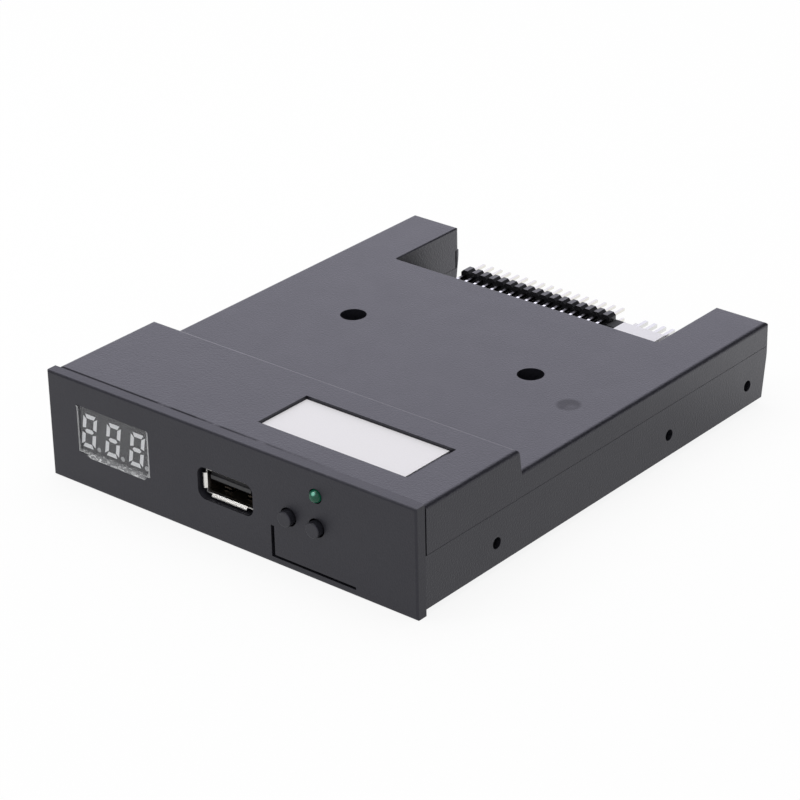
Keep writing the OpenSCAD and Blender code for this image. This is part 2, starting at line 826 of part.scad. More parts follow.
// Clear film: a sheet with turned up edges, the lower one curled forwards and bulged over the bezel
module display_film() color("#c9cdd2", 0.4) {
  left = window_x - window_w/2 + film_gap;
  right = window_x + window_w/2 - film_gap;
  low = window_z - window_h/2 + film_gap;
  high = window_z + window_h/2 - film_gap;
  block([left, display_front - film_t, low], [right, display_front, high]);
  for (x = [left, right - film_edge])
    block([x, front, low], [x + film_edge, display_front - film_t/2, high]);
  block([left, front, high - film_edge], [right, display_front - film_t/2, high]);
  along_x(left, right)
    polygon([[display_front - film_t/2, low], [front, low], [front - film_t, low + film_t],
      [display_front - film_t, low + film_curl], [display_front - film_t/2, low + film_curl]]);
  half = (right - left)/2;
  bulge_r = (half*half + film_bulge*film_bulge)/(2*film_bulge);
  along_y(front - film_t, front) intersection() {
    translate([left, low - film_bulge]) square([2*half, film_bulge + film_curl/2]);
    translate([window_x, low - film_bulge + bulge_r]) circle(bulge_r);
  }
}

// Points mirrored by signs, and points slanted with the digit
function turned(points, sx, sz) = [for (p = points) [sx*p[0], sz*p[1]]];
function slanted(points) = [for (p = points) [p[0] + p[1]*tan(digit_slant), p[1]]];
// Segments about the middle of a digit: the outer ones are mitred where they meet
digit_side = digit_w/2;
digit_top = digit_h/2;
segment_in = digit_side - segment_w;
level_segment = [[2*segment_gap - digit_side, digit_top], [digit_side - 2*segment_gap, digit_top],
  [segment_in, digit_top - segment_w], [-segment_in, digit_top - segment_w]];
upright_segment = [[digit_side, digit_top - 2*segment_gap], [digit_side, 2*segment_gap],
  [segment_in, segment_w/2 + segment_gap], [segment_in, digit_top - segment_w - segment_gap]];
middle_tip = segment_in + segment_gap;
middle_end = middle_tip - segment_w/2;
middle_segment = [[-middle_tip, 0], [-middle_end, segment_w/2], [middle_end, segment_w/2],
  [middle_tip, 0], [middle_end, -segment_w/2], [-middle_end, -segment_w/2]];

module digit_shapes(spare) {
  for (i = [-1, 0, 1]) translate([digit_x + i*digit_pitch, digit_z]) {
    for (sz = [-1, 1]) {
      polygon(slanted(turned(level_segment, 1, sz)));
      for (sx = [-1, 1]) polygon(slanted(turned(upright_segment, sx, sz)));
    }
    polygon(slanted(middle_segment));
    translate([point_x, segment_w/2 - digit_top]) circle(d = point_d + 2*spare);
  }
}

module display_module() color("#3a3a3e") difference() {
  block([window_x - display_w/2, display_front, window_z - display_h/2],
    [window_x + display_w/2, display_back, window_z + display_h/2]);
  along_y(display_front - over, display_front + segment_d) digit_shapes(screw_gap);
}

module display_segments() color("#dcdcda")
  along_y(display_front, display_front + segment_d) digit_shapes(0);

module display_board() color("#1d211f") difference() {
  block([window_x - display_board_w/2, display_back, window_z - display_board_h/2],
    [window_x + display_board_w/2, display_board_back, window_z + display_board_h/2]);
  for (s = [-1, 1])
    rod_y(window_x + s*display_screw_x, window_z, display_back - over,
      display_board_back + over, display_screw_d + 2*screw_gap);
}

// Bent lead of a chip, from its body at y = 0 down to the board
module chip_lead(w) along_x(-w/2, w/2) {
  top = chip_lead_z + chip_lead_t;
  polygon([[-chip_lead_t, chip_lead_z], [chip_lead_knee, chip_lead_z], [chip_lead_foot, 0],
    [chip_lead_out, 0], [chip_lead_out, chip_lead_t], [chip_lead_foot + chip_lead_t/2, chip_lead_t],
    [chip_lead_knee + chip_lead_t/2, top], [-chip_lead_t, top]]);
}

// Chip body with a row of leads on two sides, or on all four
module chip(size, leads, lead_pitch, lead_w, turns) {
  translate([-size[0]/2, -size[1]/2, chip_stand]) cube(size);
  for (turn = turns, i = [0:leads - 1]) rotate(turn)
    translate([(i - (leads - 1)/2)*lead_pitch, size[1]/2, 0]) chip_lead(lead_w);
}

module display_driver() color("#222224")
  translate([window_x - driver_set[0], display_board_back, window_z + driver_set[1]])
    rotate([-90, 0, 0]) chip(driver_size, driver_lead_count, pitch/2, line_lead_w, [0, 180]);

module display_link() color("#1b1b1d") difference() {
  block([link_x - link_pins*pitch/2, link_front, board_top],
    [link_x + link_pins*pitch/2, link_front + pitch, board_top + pitch]);
  for (i = [0:link_pins - 1])
    translate([link_column(i), link_front + pitch/2, link_z])
      cube([pin_t, 2*pitch, pin_t], center = true);
}

module display_link_pins() color("#d8b45a")
  for (i = [0:link_pins - 1])
    bent_pin(link_column(i), pin_t, display_board_back, link_leg, link_z, tail_z);

// Screw along Z with its head's underside at z, and a cross recess
module screw(d, l, head_d, head_h) difference() {
  union() {
    cylinder(d = head_d, h = head_h);
    translate([0, 0, -l]) cylinder(d = d, h = l + head_h/2);
  }
  for (a = [0, 90]) rotate(a)
    translate([0, 0, head_h]) cube([head_d*0.62, head_d*0.14, head_h], center = true);
}

module display_screws() color("#b9bbbf")
  for (s = [-1, 1])
    translate([window_x + s*display_screw_x, display_board_back, window_z]) rotate([-90, 0, 0])
      screw(display_screw_d, display_screw_l, display_head_d, display_head_h);

module status_led() color("#1f9a6a") {
  rod_y(led_x, led_z, led_seat - led_l + led_d/2, led_back, led_d);
  translate([led_x, led_seat - led_l + led_d/2, led_z]) sphere(d = led_d);
  rod_y(led_x, led_z, led_seat, led_back, led_flange_d);
}

module led_leads() color("#c9cbd0")
  for (s = [-1, 1])
    bent_pin(led_x + s*pitch/2, lead_t, led_back, lead_drop, led_z, tail_z);

// Button: a stem with a rounded front edge, and a collar that the switch frame holds in
module button(x) color("#2c2c30") {
  tip = front - button_proud;
  translate([x, tip, button_z]) rotate([-90, 0, 0]) rotate_extrude() difference() {
    square([button_d/2, collar_front + collar_t/2 - tip]);
    corner_cut([button_d/2, 0], [-1, 1], button_round);
  }
  rod_y(x, button_z, collar_front, collar_front + collar_t, collar_d);
  rod_y(x, button_z, collar_front + collar_t/2, nub_tip, nub_d);
}

module switch_body(x) color("#1c1c1e") difference() {
  block([x - switch_w/2, housing_front, board_top],
    [x + switch_w/2, housing_back, button_z + switch_rise]);
  rod_y(x, button_z, housing_front - over, chamber_back, chamber_d);
}

// Sheet steel frame: a front plate with two side legs through the board
module switch_frame(x) color("#b9bbbf") difference() {
  union() {
    block([x - switch_w/2 - frame_t, switch_front, board_top],
      [x + switch_w/2 + frame_t, housing_front, button_z + switch_rise]);
    for (s = [-1, 1]) {
      low = x + s*(switch_w + frame_t)/2;
      block([low - frame_t/2, switch_front, board_top],
        [low + frame_t/2, housing_back, button_z + switch_rise/2]);
      block([low - frame_t/2, housing_back - 2*switch_leg_w, tail_z],
        [low + frame_t/2, housing_back - switch_leg_w, board_top + over]);
    }
  }
  rod_y(x, button_z, switch_front - over, housing_front + over, stem_hole_d);
}

// Snap dome: a thin dished disc on the switch's rear wall
module switch_dome(x) color("#c9cbd0")
  translate([x, chamber_back, button_z]) rotate([90, 0, 0])
    rotate_extrude() polygon([[0, dome_h - dome_t], [0, dome_h], [nub_d/2, dome_h],
      [dome_d/2, dome_t], [dome_d/2, 0], [dome_d/2 - dome_t, 0], [nub_d/2, dome_h - dome_t]]);

// Lip of the port's shell: a strip of width w that flares down from the level of z = 0
module flare(w) {
  root = socket_front + flare_d;
  along_x(-w/2, w/2)
    polygon([[root + socket_t, 0], [root, 0], [socket_front, -flare_out],
      [socket_front, -flare_out - socket_t], [root, -socket_t], [root + socket_t, -socket_t]]);
}

// Spring tab in the bottom of the port's shell, bent up from the rear of its window
module spring_tab(x) {
  root = socket_front + spring_set + spring_l;
  tip = socket_front + spring_set + spring_tip;
  top = socket_low + spring_dip;
  along_x(x - spring_w/2 + spring_slit, x + spring_w/2 - spring_slit)
    polygon([[root + socket_t, socket_low], [root, socket_low], [tip, top], [tip, top - socket_t],
      [root, socket_low - socket_t], [root + socket_t, socket_low - socket_t]]);
}

module port_shell() color("#c4c6ca") translate([port_x, 0, 0]) {
  for (s = [0, 1]) {
    translate([0, 0, port_z]) mirror([0, 0, s]) translate([0, 0, -socket_h/2])
      flare(socket_w - 2*flare_side);
    mirror([s, 0, 0]) translate([-socket_half, 0, port_z]) rotate([0, 90, 0])
      flare(socket_h - 2*flare_rise);
  }
  for (s = [-1, 1]) spring_tab(s*spring_x);
  difference() {
    block([-socket_half - socket_t, socket_front + flare_d, socket_low - socket_t],
      [socket_half + socket_t, socket_back, socket_low + socket_h + socket_t]);
    block([-socket_half, socket_front - over, socket_low],
      [socket_half, socket_back + over, socket_low + socket_h]);
    // spring windows in the top and bottom
    for (s = [-1, 1])
      block([s*spring_x - spring_w/2, socket_front + spring_set, socket_low - over],
        [s*spring_x + spring_w/2, socket_front + spring_set + spring_l, socket_low + socket_h + over]);
  }
  // side legs that stand on the board and pass through it
  for (s = [-1, 1]) {
    edge = s*(socket_half + socket_t/2);
    block([edge - socket_t/2, port_leg_y - port_leg_w, board_top],
      [edge + socket_t/2, port_leg_y + port_leg_w, socket_low]);
    block([edge - socket_t/2, port_leg_y - port_leg_w/2, tail_z],
      [edge + socket_t/2, port_leg_y + port_leg_w/2, board_top + socket_t]);
  }
}

module port_tongue() color("#1b1b1d") translate([port_x, 0, 0]) difference() {
  union() {
    along_x(-tongue_w/2, tongue_w/2)
      polygon([[tongue_front, tongue_low + tongue_chamfer], [tongue_front + tongue_chamfer, tongue_low],
        [socket_back, tongue_low], [socket_back, tongue_low + tongue_t],
        [tongue_front + tongue_chamfer, tongue_low + tongue_t],
        [tongue_front, tongue_low + tongue_t - tongue_chamfer]]);
    block([-socket_half, socket_back - plug_block_d, socket_low],
      [socket_half, socket_back, socket_low + socket_h]);
  }
  for (i = [0:3]) contact_strip(i);
}

// Straight part of one contact, under the tongue
module contact_strip(i) {
  x = (i - 1.5)*contact_pitch;
  block([x - contact_w/2, tongue_front + contact_set, tongue_low],
    [x + contact_w/2, contact_bend, tongue_low + contact_t]);
}

module port_contacts() color("#d8b45a") translate([port_x, 0, 0]) for (i = [0:3]) {
  x = (i - 1.5)*contact_pitch;
  contact_strip(i);
  block([x - contact_w/4, contact_bend - contact_t, tail_z],
    [x + contact_w/4, contact_bend, tongue_low + contact_t]);
}

// Holes of the main board, as a plan: each a place and a diameter
function board_holes() = concat(
  [for (i = [0:header_columns - 1], y = header_legs) [header_left + i*pitch, y, pin_hole_d]],
  [for (i = [0:3]) [power_x + (i - 1.5)*power_pitch, power_leg, power_hole_d]],
  [for (i = [0:link_pins - 1]) [link_column(i), link_leg, pin_hole_d]],
  [for (s = [-1, 1]) [led_x + s*pitch/2, lead_drop, pin_hole_d]],
  [for (x = button_xs, s = [-1, 1])
    [x + s*(switch_w + frame_t)/2, housing_back - 1.5*switch_leg_w, 1.2*switch_leg_w]],
  [for (i = [0:3]) [port_x + (i - 1.5)*contact_pitch, contact_bend - contact_t/2, contact_w]],
  [for (s = [-1, 1]) [port_x + s*(socket_half + socket_t/2), port_leg_y, 1.2*port_leg_w]],
  [for (s = [-1, 1], y = standoff_rows) [s*standoff_x, y, board_screw_d + 2*board_hole_gap]],
  [for (s = [-1, 1]) [s*well_x, well_row, post_d + 2*post_gap]]);

module main_board() color("#1d211f") difference() {
  block([-board_half, board_front, board_bottom], [board_half, board_back, board_top]);
  block([-board_half - over, board_front - over, board_bottom - over],
    [bay_right, bay_back, board_top + over]);
  for (h = board_holes())
    translate([h[0], h[1], board_bottom - over]) cylinder(d = h[2], h = board_t + 2*over);
}

// Outline of a two row header: one chamfered cell a column
module header_outline() {
  half = pitch/2;
  c = header_chamfer;
  xs = [for (i = [0:header_columns - 1]) header_left + i*pitch];
  top = [for (x = xs, p = [[-half, header_h - c], [c - half, header_h],
    [half - c, header_h], [half, header_h - c]]) [x + p[0], board_top + p[1]]];
  low = [for (i = [header_columns - 1:-1:0], p = [[half, c], [half - c, 0],
    [c - half, 0], [-half, c]]) [xs[i] + p[0], board_top + p[1]]];
  polygon(concat(top, low));
}

module floppy_header() color("#1b1b1d") difference() {
  along_y(header_front, board_back) header_outline();
  for (i = [0:header_columns - 1], z = header_rows)
    translate([header_left + i*pitch, header_front + pitch/2, z])
      cube([pin_t, 2*pitch, pin_t], center = true);
}

module floppy_pins() color("#d8b45a")
  for (i = [0:header_columns - 1], r = [0, 1])
    bent_pin(header_left + i*pitch, pin_t, pin_tip, header_legs[r], header_rows[r], tail_z);

module power_connector() color("#e6e5e6") difference() {
  union() {
    block([power_x - power_w/2, power_front, board_top],
      [power_x + power_w/2, power_back, board_top + power_h]);
    // shelf with two cheeks that guide the plug
    block([power_x - power_w/2, power_back - over, board_top],
      [power_x + power_w/2, power_back + power_shelf_l, board_top + power_shelf_t]);
    for (s = [-1, 1])
      translate([power_x + s*(power_w - power_cheek)/2, power_back + power_shelf_l/2 - over/2,
          board_top + power_shelf_t])
        cube([power_cheek, power_shelf_l + over, 2*power_shelf_t], center = true);
  }
  for (i = [0:3])
    translate([power_x + (i - 1.5)*power_pitch, power_front + power_d/2, power_pin_z])
      cube([power_pin_t, 2*power_d, power_pin_t], center = true);
}

module power_pins() color("#cfd1d5")
  for (i = [0:3])
    bent_pin(power_x + (i - 1.5)*power_pitch, power_pin_t, pin_tip, power_leg, power_pin_z, tail_z);

module input_capacitor() color("#232325") {
  block([input_cap_x - input_cap_w/2, input_cap_back - input_cap_l, board_top],
    [input_cap_x + input_cap_w/2, input_cap_back, board_top + input_cap_h]);
}

module microcontroller() color("#202022") translate([mcu_x, board_front + mcu_set, board_top])
  chip([mcu_w, mcu_w, mcu_h], mcu_leads, mcu_lead_pitch, mcu_lead_w, [0:90:270]);

module crystal() color("#c4c6ca") translate([crystal_x, board_front + crystal_set, board_top]) {
  r = crystal_size[1]/2;
  linear_extrude(crystal_size[2]) {
    square([crystal_size[0] - 2*r, 2*r], center = true);
    for (s = [-1, 1]) translate([s*(crystal_size[0]/2 - r), 0]) circle(r);
  }
}

module regulator() color("#202022") translate([regulator_x, notch_front - regulator_set, board_top]) {
  bite = regulator_tab[2];
  translate([-regulator_size[0]/2, -regulator_size[1]/2, 0]) cube(regulator_size);
  translate([-regulator_tab[0]/2, regulator_size[1]/2 - bite, 0]) cube(regulator_tab);
  for (i = [-1, 0, 1])
    translate([i*regulator_pitch - regulator_lead[0]/2,
        bite - regulator_size[1]/2 - regulator_lead[1], 0])
      cube(regulator_lead);
}

module line_driver() color("#202022") translate([line_x, notch_front - line_set, board_top])
  chip(line_size, line_leads, pitch/2, line_lead_w, [0, 180]);

module filter_capacitors() color("#b9bbbf")
  for (p = can_places) translate([p[0], p[1], board_top]) {
    translate([-can_d/2, -can_d/2, 0]) cube([can_d, can_d, can_base_h]);
    cylinder(d = can_d - can_trim, h = can_h);
  }

module board_screws() color("#b9bbbf")
  for (s = [-1, 1], y = standoff_rows)
    translate([s*standoff_x, y, board_top])
      screw(board_screw_d, board_screw_l, board_head_d, board_head_h);

module case_screws() color("#55565a")
  for (s = [-1, 1])
    translate([s*well_x, well_row, seat_top])
      screw(case_screw_d, case_screw_l, case_head_d, case_head_h);

upper_shell();
lower_shell();
front_bezel();
label();
display_film();
display_module();
display_segments();
display_board();
display_driver();
display_link();
display_link_pins();
display_screws();
status_led();
led_leads();
button(button_xs[0]);  // button_left
button(button_xs[1]);  // button_right
switch_body(button_xs[0]);  // switch_body_left
switch_body(button_xs[1]);  // switch_body_right
switch_frame(button_xs[0]);  // switch_frame_left
switch_frame(button_xs[1]);  // switch_frame_right
switch_dome(button_xs[0]);  // switch_dome_left
switch_dome(button_xs[1]);  // switch_dome_right
port_shell();
port_tongue();
port_contacts();
main_board();
floppy_header();
floppy_pins();
power_connector();
power_pins();
input_capacitor();
microcontroller();
crystal();
regulator();
line_driver();
filter_capacitors();
board_screws();
case_screws();
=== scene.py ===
import bmesh
import bpy
import math
from mathutils import Matrix, Vector


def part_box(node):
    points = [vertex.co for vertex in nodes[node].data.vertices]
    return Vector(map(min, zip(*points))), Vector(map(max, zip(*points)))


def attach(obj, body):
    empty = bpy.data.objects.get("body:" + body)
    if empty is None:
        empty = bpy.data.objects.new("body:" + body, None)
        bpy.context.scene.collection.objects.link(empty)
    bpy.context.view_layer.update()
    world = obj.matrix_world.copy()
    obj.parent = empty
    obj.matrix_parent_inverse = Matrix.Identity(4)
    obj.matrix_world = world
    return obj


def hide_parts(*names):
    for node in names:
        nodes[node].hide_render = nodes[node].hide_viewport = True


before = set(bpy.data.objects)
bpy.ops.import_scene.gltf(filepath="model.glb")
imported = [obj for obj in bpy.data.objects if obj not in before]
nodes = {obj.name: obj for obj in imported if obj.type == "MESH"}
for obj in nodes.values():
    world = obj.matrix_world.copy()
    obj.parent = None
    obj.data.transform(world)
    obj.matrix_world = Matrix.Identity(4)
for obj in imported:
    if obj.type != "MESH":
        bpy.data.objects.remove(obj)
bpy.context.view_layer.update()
scene = bpy.context.scene
mm = 0.001
print("frame:", len(nodes), "nodes")


# node helpers

def linear(hexColour):  # sRGB hex to linear RGBA
    parts = [int(hexColour[i:i + 2], 16) / 255 for i in (1, 3, 5)]
    return [c / 12.92 if c <= 0.04045 else ((c + 0.055) / 1.055) ** 2.4 for c in parts] + [1]


def plug(tree, node, sockets):  # links another node's output, or sets a constant
    for socket, value in sockets.items():
        if isinstance(value, bpy.types.NodeSocket):
            tree.links.new(value, node.inputs[socket])
        else:
            node.inputs[socket].default_value = value


def addNode(tree, kind, sockets=None, **settings):  # settings are the node's own
    node = tree.nodes.new(kind)
    for name, value in settings.items():
        setattr(node, name, value)
    plug(tree, node, sockets or {})
    return node.outputs


def startMaterial(name, sockets):  # constants go straight onto the shader
    material = bpy.data.materials.new(name)
    material.use_nodes = True
    tree = material.node_tree
    shader = tree.nodes["Principled BSDF"]
    plug(tree, shader, sockets)
    place = addNode(tree, "ShaderNodeTexCoord")["Object"]
    return material, tree, shader, place


def perMm(size):  # noise scale for a grain of that many millimetres
    return 1 / (size * mm)


noiseLow, noiseHigh = 0.3, 0.7  # most of a noise's values lie between these


# moulded plastic of the case, the bezel and the buttons

ejectorMark = {"at": (40.2, 2.5, 19.3), "shape": (1, 1, 1), "reach": (2.2, 3.0), "share": 1.0, "rough": 0.56,
               "colour": "#141418", "broken": (0.2, 0.5), "fade": (60, 61)}  # disc that the mould's pin left
gapShade = {"at": (0, -57.05, 24.5), "shape": (0, 1, 1), "reach": (0.2, 0.42), "share": 0.85, "rough": 1.0,
           "colour": "#050506", "broken": (0.35, 0.5), "fade": (-12, 30)}  # painted shade of the gap behind the bezel: a dark matt line on the block's top
caseLook = {"ior": 1.53, "tint": "#f4f3ff", "grain": 0.42, "smudge": 7, "dark": "#141418", "light": "#26262c",
            "worn": "#3a3a42", "edge": 0.15, "edgeTurn": (0.98, 0.85), "rub": 0.7, "rough": (0.36, 0.39),
            "bump": 1.0, "depth": 0.08, "dullAndShade": (ejectorMark, gapShade)}  # grain drawn coarser, to show
bezelLook = dict(caseLook, grain=0.36, rough=(0.46, 0.49), bump=0.7, rub=0.05, dullAndShade=())
buttonLook = dict(caseLook, grain=0.3, rough=(0.4, 0.44), bump=0.3, dullAndShade=(), edge=0.2, worn="#4c4c54")


def mouldedAbs(name, look):  # spark-eroded black ABS: soft sheen, fine grain, edges rubbed lighter
    material, tree, shader, place = startMaterial(name, {
        "IOR": look["ior"], "Specular Tint": linear(look["tint"])})
    grain = addNode(tree, "ShaderNodeTexNoise", {
        "Vector": place, "Scale": perMm(look["grain"]), "Detail": 2, "Roughness": 0.6})["Fac"]
    smudge = addNode(tree, "ShaderNodeTexNoise", {
        "Vector": place, "Scale": perMm(look["smudge"]), "Detail": 5, "Roughness": 0.6})["Fac"]
    rounded = addNode(tree, "ShaderNodeBevel", {"Radius": look["edge"] * mm}, samples=6)["Normal"]
    facing = addNode(tree, "ShaderNodeNewGeometry")["Normal"]
    agree = addNode(tree, "ShaderNodeVectorMath", {0: rounded, 1: facing}, operation="DOT_PRODUCT")["Value"]
    edge = addNode(tree, "ShaderNodeMapRange", {
        "Value": agree, "From Min": look["edgeTurn"][0], "From Max": look["edgeTurn"][1],
        "To Min": 0, "To Max": look["rub"]})["Result"]
    base = addNode(tree, "ShaderNodeMix", {
        "Factor": grain, "A": linear(look["dark"]), "B": linear(look["light"])}, data_type="RGBA")[2]
    colour = addNode(tree, "ShaderNodeMix", {
        "Factor": edge, "A": base, "B": linear(look["worn"])}, data_type="RGBA")[2]
    rough = addNode(tree, "ShaderNodeMapRange", {
        "Value": smudge, "From Min": noiseLow, "From Max": noiseHigh,
        "To Min": look["rough"][0], "To Max": look["rough"][1]})["Result"]
    spot = addNode(tree, "ShaderNodeSeparateXYZ", {0: place})
    for dullAndShade in look["dullAndShade"]:  # a disc that the mould left without sheen, and the painted shade of the gap behind the bezel
        centre = [v * mm for v in dullAndShade["at"]]
        away = addNode(tree, "ShaderNodeVectorMath", {0: place, 1: centre}, operation="SUBTRACT")["Vector"]
        shaped = addNode(tree, "ShaderNodeVectorMath", {
            0: away, 1: dullAndShade["shape"]}, operation="MULTIPLY")["Vector"]
        far = addNode(tree, "ShaderNodeVectorMath", {0: shaped}, operation="LENGTH")["Value"]
        mask = addNode(tree, "ShaderNodeMapRange", {
            "Value": far, "From Min": dullAndShade["reach"][1] * mm, "From Max": dullAndShade["reach"][0] * mm,
            "To Min": 0.0, "To Max": dullAndShade["share"]})["Result"]
        broken = addNode(tree, "ShaderNodeMapRange", {
            "Value": smudge, "From Min": dullAndShade["broken"][0], "From Max": dullAndShade["broken"][1]})["Result"]
        fade = addNode(tree, "ShaderNodeMapRange", {
            "Value": spot["X"], "From Min": dullAndShade["fade"][1] * mm, "From Max": dullAndShade["fade"][0] * mm})["Result"]
        patchy = addNode(tree, "ShaderNodeMath", {0: mask, 1: broken}, operation="MULTIPLY")[0]
        factor = addNode(tree, "ShaderNodeMath", {0: patchy, 1: fade}, operation="MULTIPLY")[0]
        rough = addNode(tree, "ShaderNodeMix", {
            "Factor": factor, "A": rough, "B": dullAndShade["rough"]}, data_type="FLOAT")[0]
        # darkens the colour there: the mould's mark, and the painted shade of the gap
        colour = addNode(tree, "ShaderNodeMix", {
            "Factor": factor, "A": colour, "B": linear(dullAndShade["colour"])}, data_type="RGBA")[2]
    bump = addNode(tree, "ShaderNodeBump", {
        "Height": grain, "Strength": look["bump"], "Distance": look["depth"] * mm})["Normal"]
    plug(tree, shader, {"Base Color": colour, "Roughness": rough, "Normal": bump})
    return material


# plain finishes: a grain in colour, roughness and height
# grain widths are in mm, and the finest are drawn coarser, so that they show

metal = {"Metallic": 1.0}
finishes = {
    "label_paper": {"grain": 0.35, "dark": "#dbd9dc", "light": "#e6e4e7", "rough": (0.42, 0.5),
                    "bump": 0.15, "depth": 0.01},  # coated paper: white, faint fibre
    "display_face": {"grain": 0.28, "dark": "#1a1a1e", "light": "#3e3e44", "rough": (0.3, 0.4),
                     "bump": 0.2, "depth": 0.02},  # printed epoxy face: dark grey, speckled
    "chip_resin": {"grain": 0.15, "dark": "#111113", "light": "#19191b", "rough": (0.6, 0.7),
                   "bump": 0.3, "depth": 0.02},  # filled epoxy: dull black
    "connector_black": {"grain": 0.3, "dark": "#1c1c1e", "light": "#2b2b2f", "rough": (0.28, 0.36),
                        "bump": 0.12, "depth": 0.01},  # glass filled nylon: satin black
    "tinned_metal": {"grain": 0.2, "dark": "#b2b2b1", "light": "#cacac8", "rough": (0.2, 0.32),
                     "bump": 0.1, "depth": 0.005, "sockets": metal},  # dipped tin: white, slightly dull
    "contact_gold": {"grain": 0.2, "dark": "#b9a068", "light": "#d2ba80", "rough": (0.2, 0.3),
                     "bump": 0.1, "depth": 0.005, "sockets": metal},  # flash gold: pale, warm
    "zinc_steel": {"grain": 0.3, "dark": "#a8abb0", "light": "#c6c9cd", "rough": (0.25, 0.38),
                   "bump": 0.15, "depth": 0.01, "sockets": metal},  # zinc plate: cool grey
    "black_steel": {"grain": 0.3, "dark": "#232326", "light": "#36363a", "rough": (0.32, 0.42),
                    "bump": 0.2, "depth": 0.01, "sockets": metal},  # black zinc: dark, oily sheen
    "white_nylon": {"grain": 0.5, "dark": "#d6d4da", "light": "#e2e0e6", "rough": (0.36, 0.46),
                    "bump": 0.15, "depth": 0.02},  # natural nylon: milk white, waxy
    "capacitor_can": {"grain": 0.3, "stretch": (1, 1, 0.1), "dark": "#b4b6ba", "light": "#d0d2d5",
                      "rough": (0.25, 0.38), "bump": 0.15, "depth": 0.01,
                      "sockets": metal},  # drawn aluminium: grey, fine lines
}


def plainFinish(name, look):  # moulded, plated or printed surface
    material, tree, shader, place = startMaterial(name, look.get("sockets", {}))
    stretched = addNode(tree, "ShaderNodeMapping", {
        "Vector": place, "Scale": look.get("stretch", (1, 1, 1))})["Vector"]
    grain = addNode(tree, "ShaderNodeTexNoise", {
        "Vector": stretched, "Scale": perMm(look["grain"]), "Detail": 4, "Roughness": 0.6})["Fac"]
    colour = addNode(tree, "ShaderNodeMix", {
        "Factor": grain, "A": linear(look["dark"]), "B": linear(look["light"])}, data_type="RGBA")[2]
    rough = addNode(tree, "ShaderNodeMapRange", {
        "Value": grain, "From Min": noiseLow, "From Max": noiseHigh,
        "To Min": look["rough"][0], "To Max": look["rough"][1]})["Result"]
    bump = addNode(tree, "ShaderNodeBump", {
        "Height": grain, "Strength": look["bump"], "Distance": look["depth"] * mm})["Normal"]
    plug(tree, shader, {"Base Color": colour, "Roughness": rough, "Normal": bump})
    return material


# circuit boards

boardLook = {"ior": 1.5, "mask": "#0b0c0d", "copper": "#15171a", "edge": "#7d7552", "track": 0.6,
             "trackGap": 1.27, "pour": 14, "pourFrom": 0.55, "flat": (0.3, 0.6), "rough": (0.2, 0.3),
             "grain": 0.5, "bump": 0.4, "depth": 0.03}


def solderMask(name, look):  # black solder mask over etched copper: glossy, tracks and pours just showing
    material, tree, shader, place = startMaterial(name, {"IOR": look["ior"]})
    spot = addNode(tree, "ShaderNodeSeparateXYZ", {0: place})
    across = addNode(tree, "ShaderNodeMath", {
        0: spot["X"], 1: 0.0, 2: look["trackGap"] * mm}, operation="WRAP")[0]
    track = addNode(tree, "ShaderNodeMath", {0: across, 1: look["track"] * mm}, operation="LESS_THAN")[0]
    pour = addNode(tree, "ShaderNodeTexVoronoi", {
        "Vector": place, "Scale": perMm(look["pour"])}, distance="MANHATTAN")["Color"]
    field = addNode(tree, "ShaderNodeSeparateColor", {0: pour})["Red"]
    filled = addNode(tree, "ShaderNodeMath", {0: field, 1: look["pourFrom"]}, operation="GREATER_THAN")[0]
    copper = addNode(tree, "ShaderNodeMath", {0: track, 1: filled}, operation="MAXIMUM")[0]
    grain = addNode(tree, "ShaderNodeTexNoise", {
        "Vector": place, "Scale": perMm(look["grain"]), "Detail": 4})["Fac"]
    covered = addNode(tree, "ShaderNodeMix", {
        "Factor": copper, "A": linear(look["mask"]), "B": linear(look["copper"])}, data_type="RGBA")[2]
    normal = addNode(tree, "ShaderNodeNewGeometry")["Normal"]
    facing = addNode(tree, "ShaderNodeSeparateXYZ", {0: normal})["Z"]
    upright = addNode(tree, "ShaderNodeMath", {0: facing}, operation="ABSOLUTE")[0]
    flat = addNode(tree, "ShaderNodeMapRange", {
        "Value": upright, "From Min": look["flat"][0], "From Max": look["flat"][1]})["Result"]
    # sawn edges show the laminate
    colour = addNode(tree, "ShaderNodeMix", {
        "Factor": flat, "A": linear(look["edge"]), "B": covered}, data_type="RGBA")[2]
    rough = addNode(tree, "ShaderNodeMapRange", {
        "Value": grain, "From Min": noiseLow, "From Max": noiseHigh,
        "To Min": look["rough"][0], "To Max": look["rough"][1]})["Result"]
    bump = addNode(tree, "ShaderNodeBump", {
        "Height": copper, "Strength": look["bump"], "Distance": look["depth"] * mm})["Normal"]
    plug(tree, shader, {"Base Color": colour, "Roughness": rough, "Normal": bump})
    return material


# display segments

segmentLook = {"dark": "#c6c7ca", "light": "#e2e3e6", "point": "#9fa0a3", "grain": 0.28, "rough": 0.35,
               "pitch": 7.0, "pointFrom": -37.4, "pointWidth": 1.5, "pointTop": 11.0}


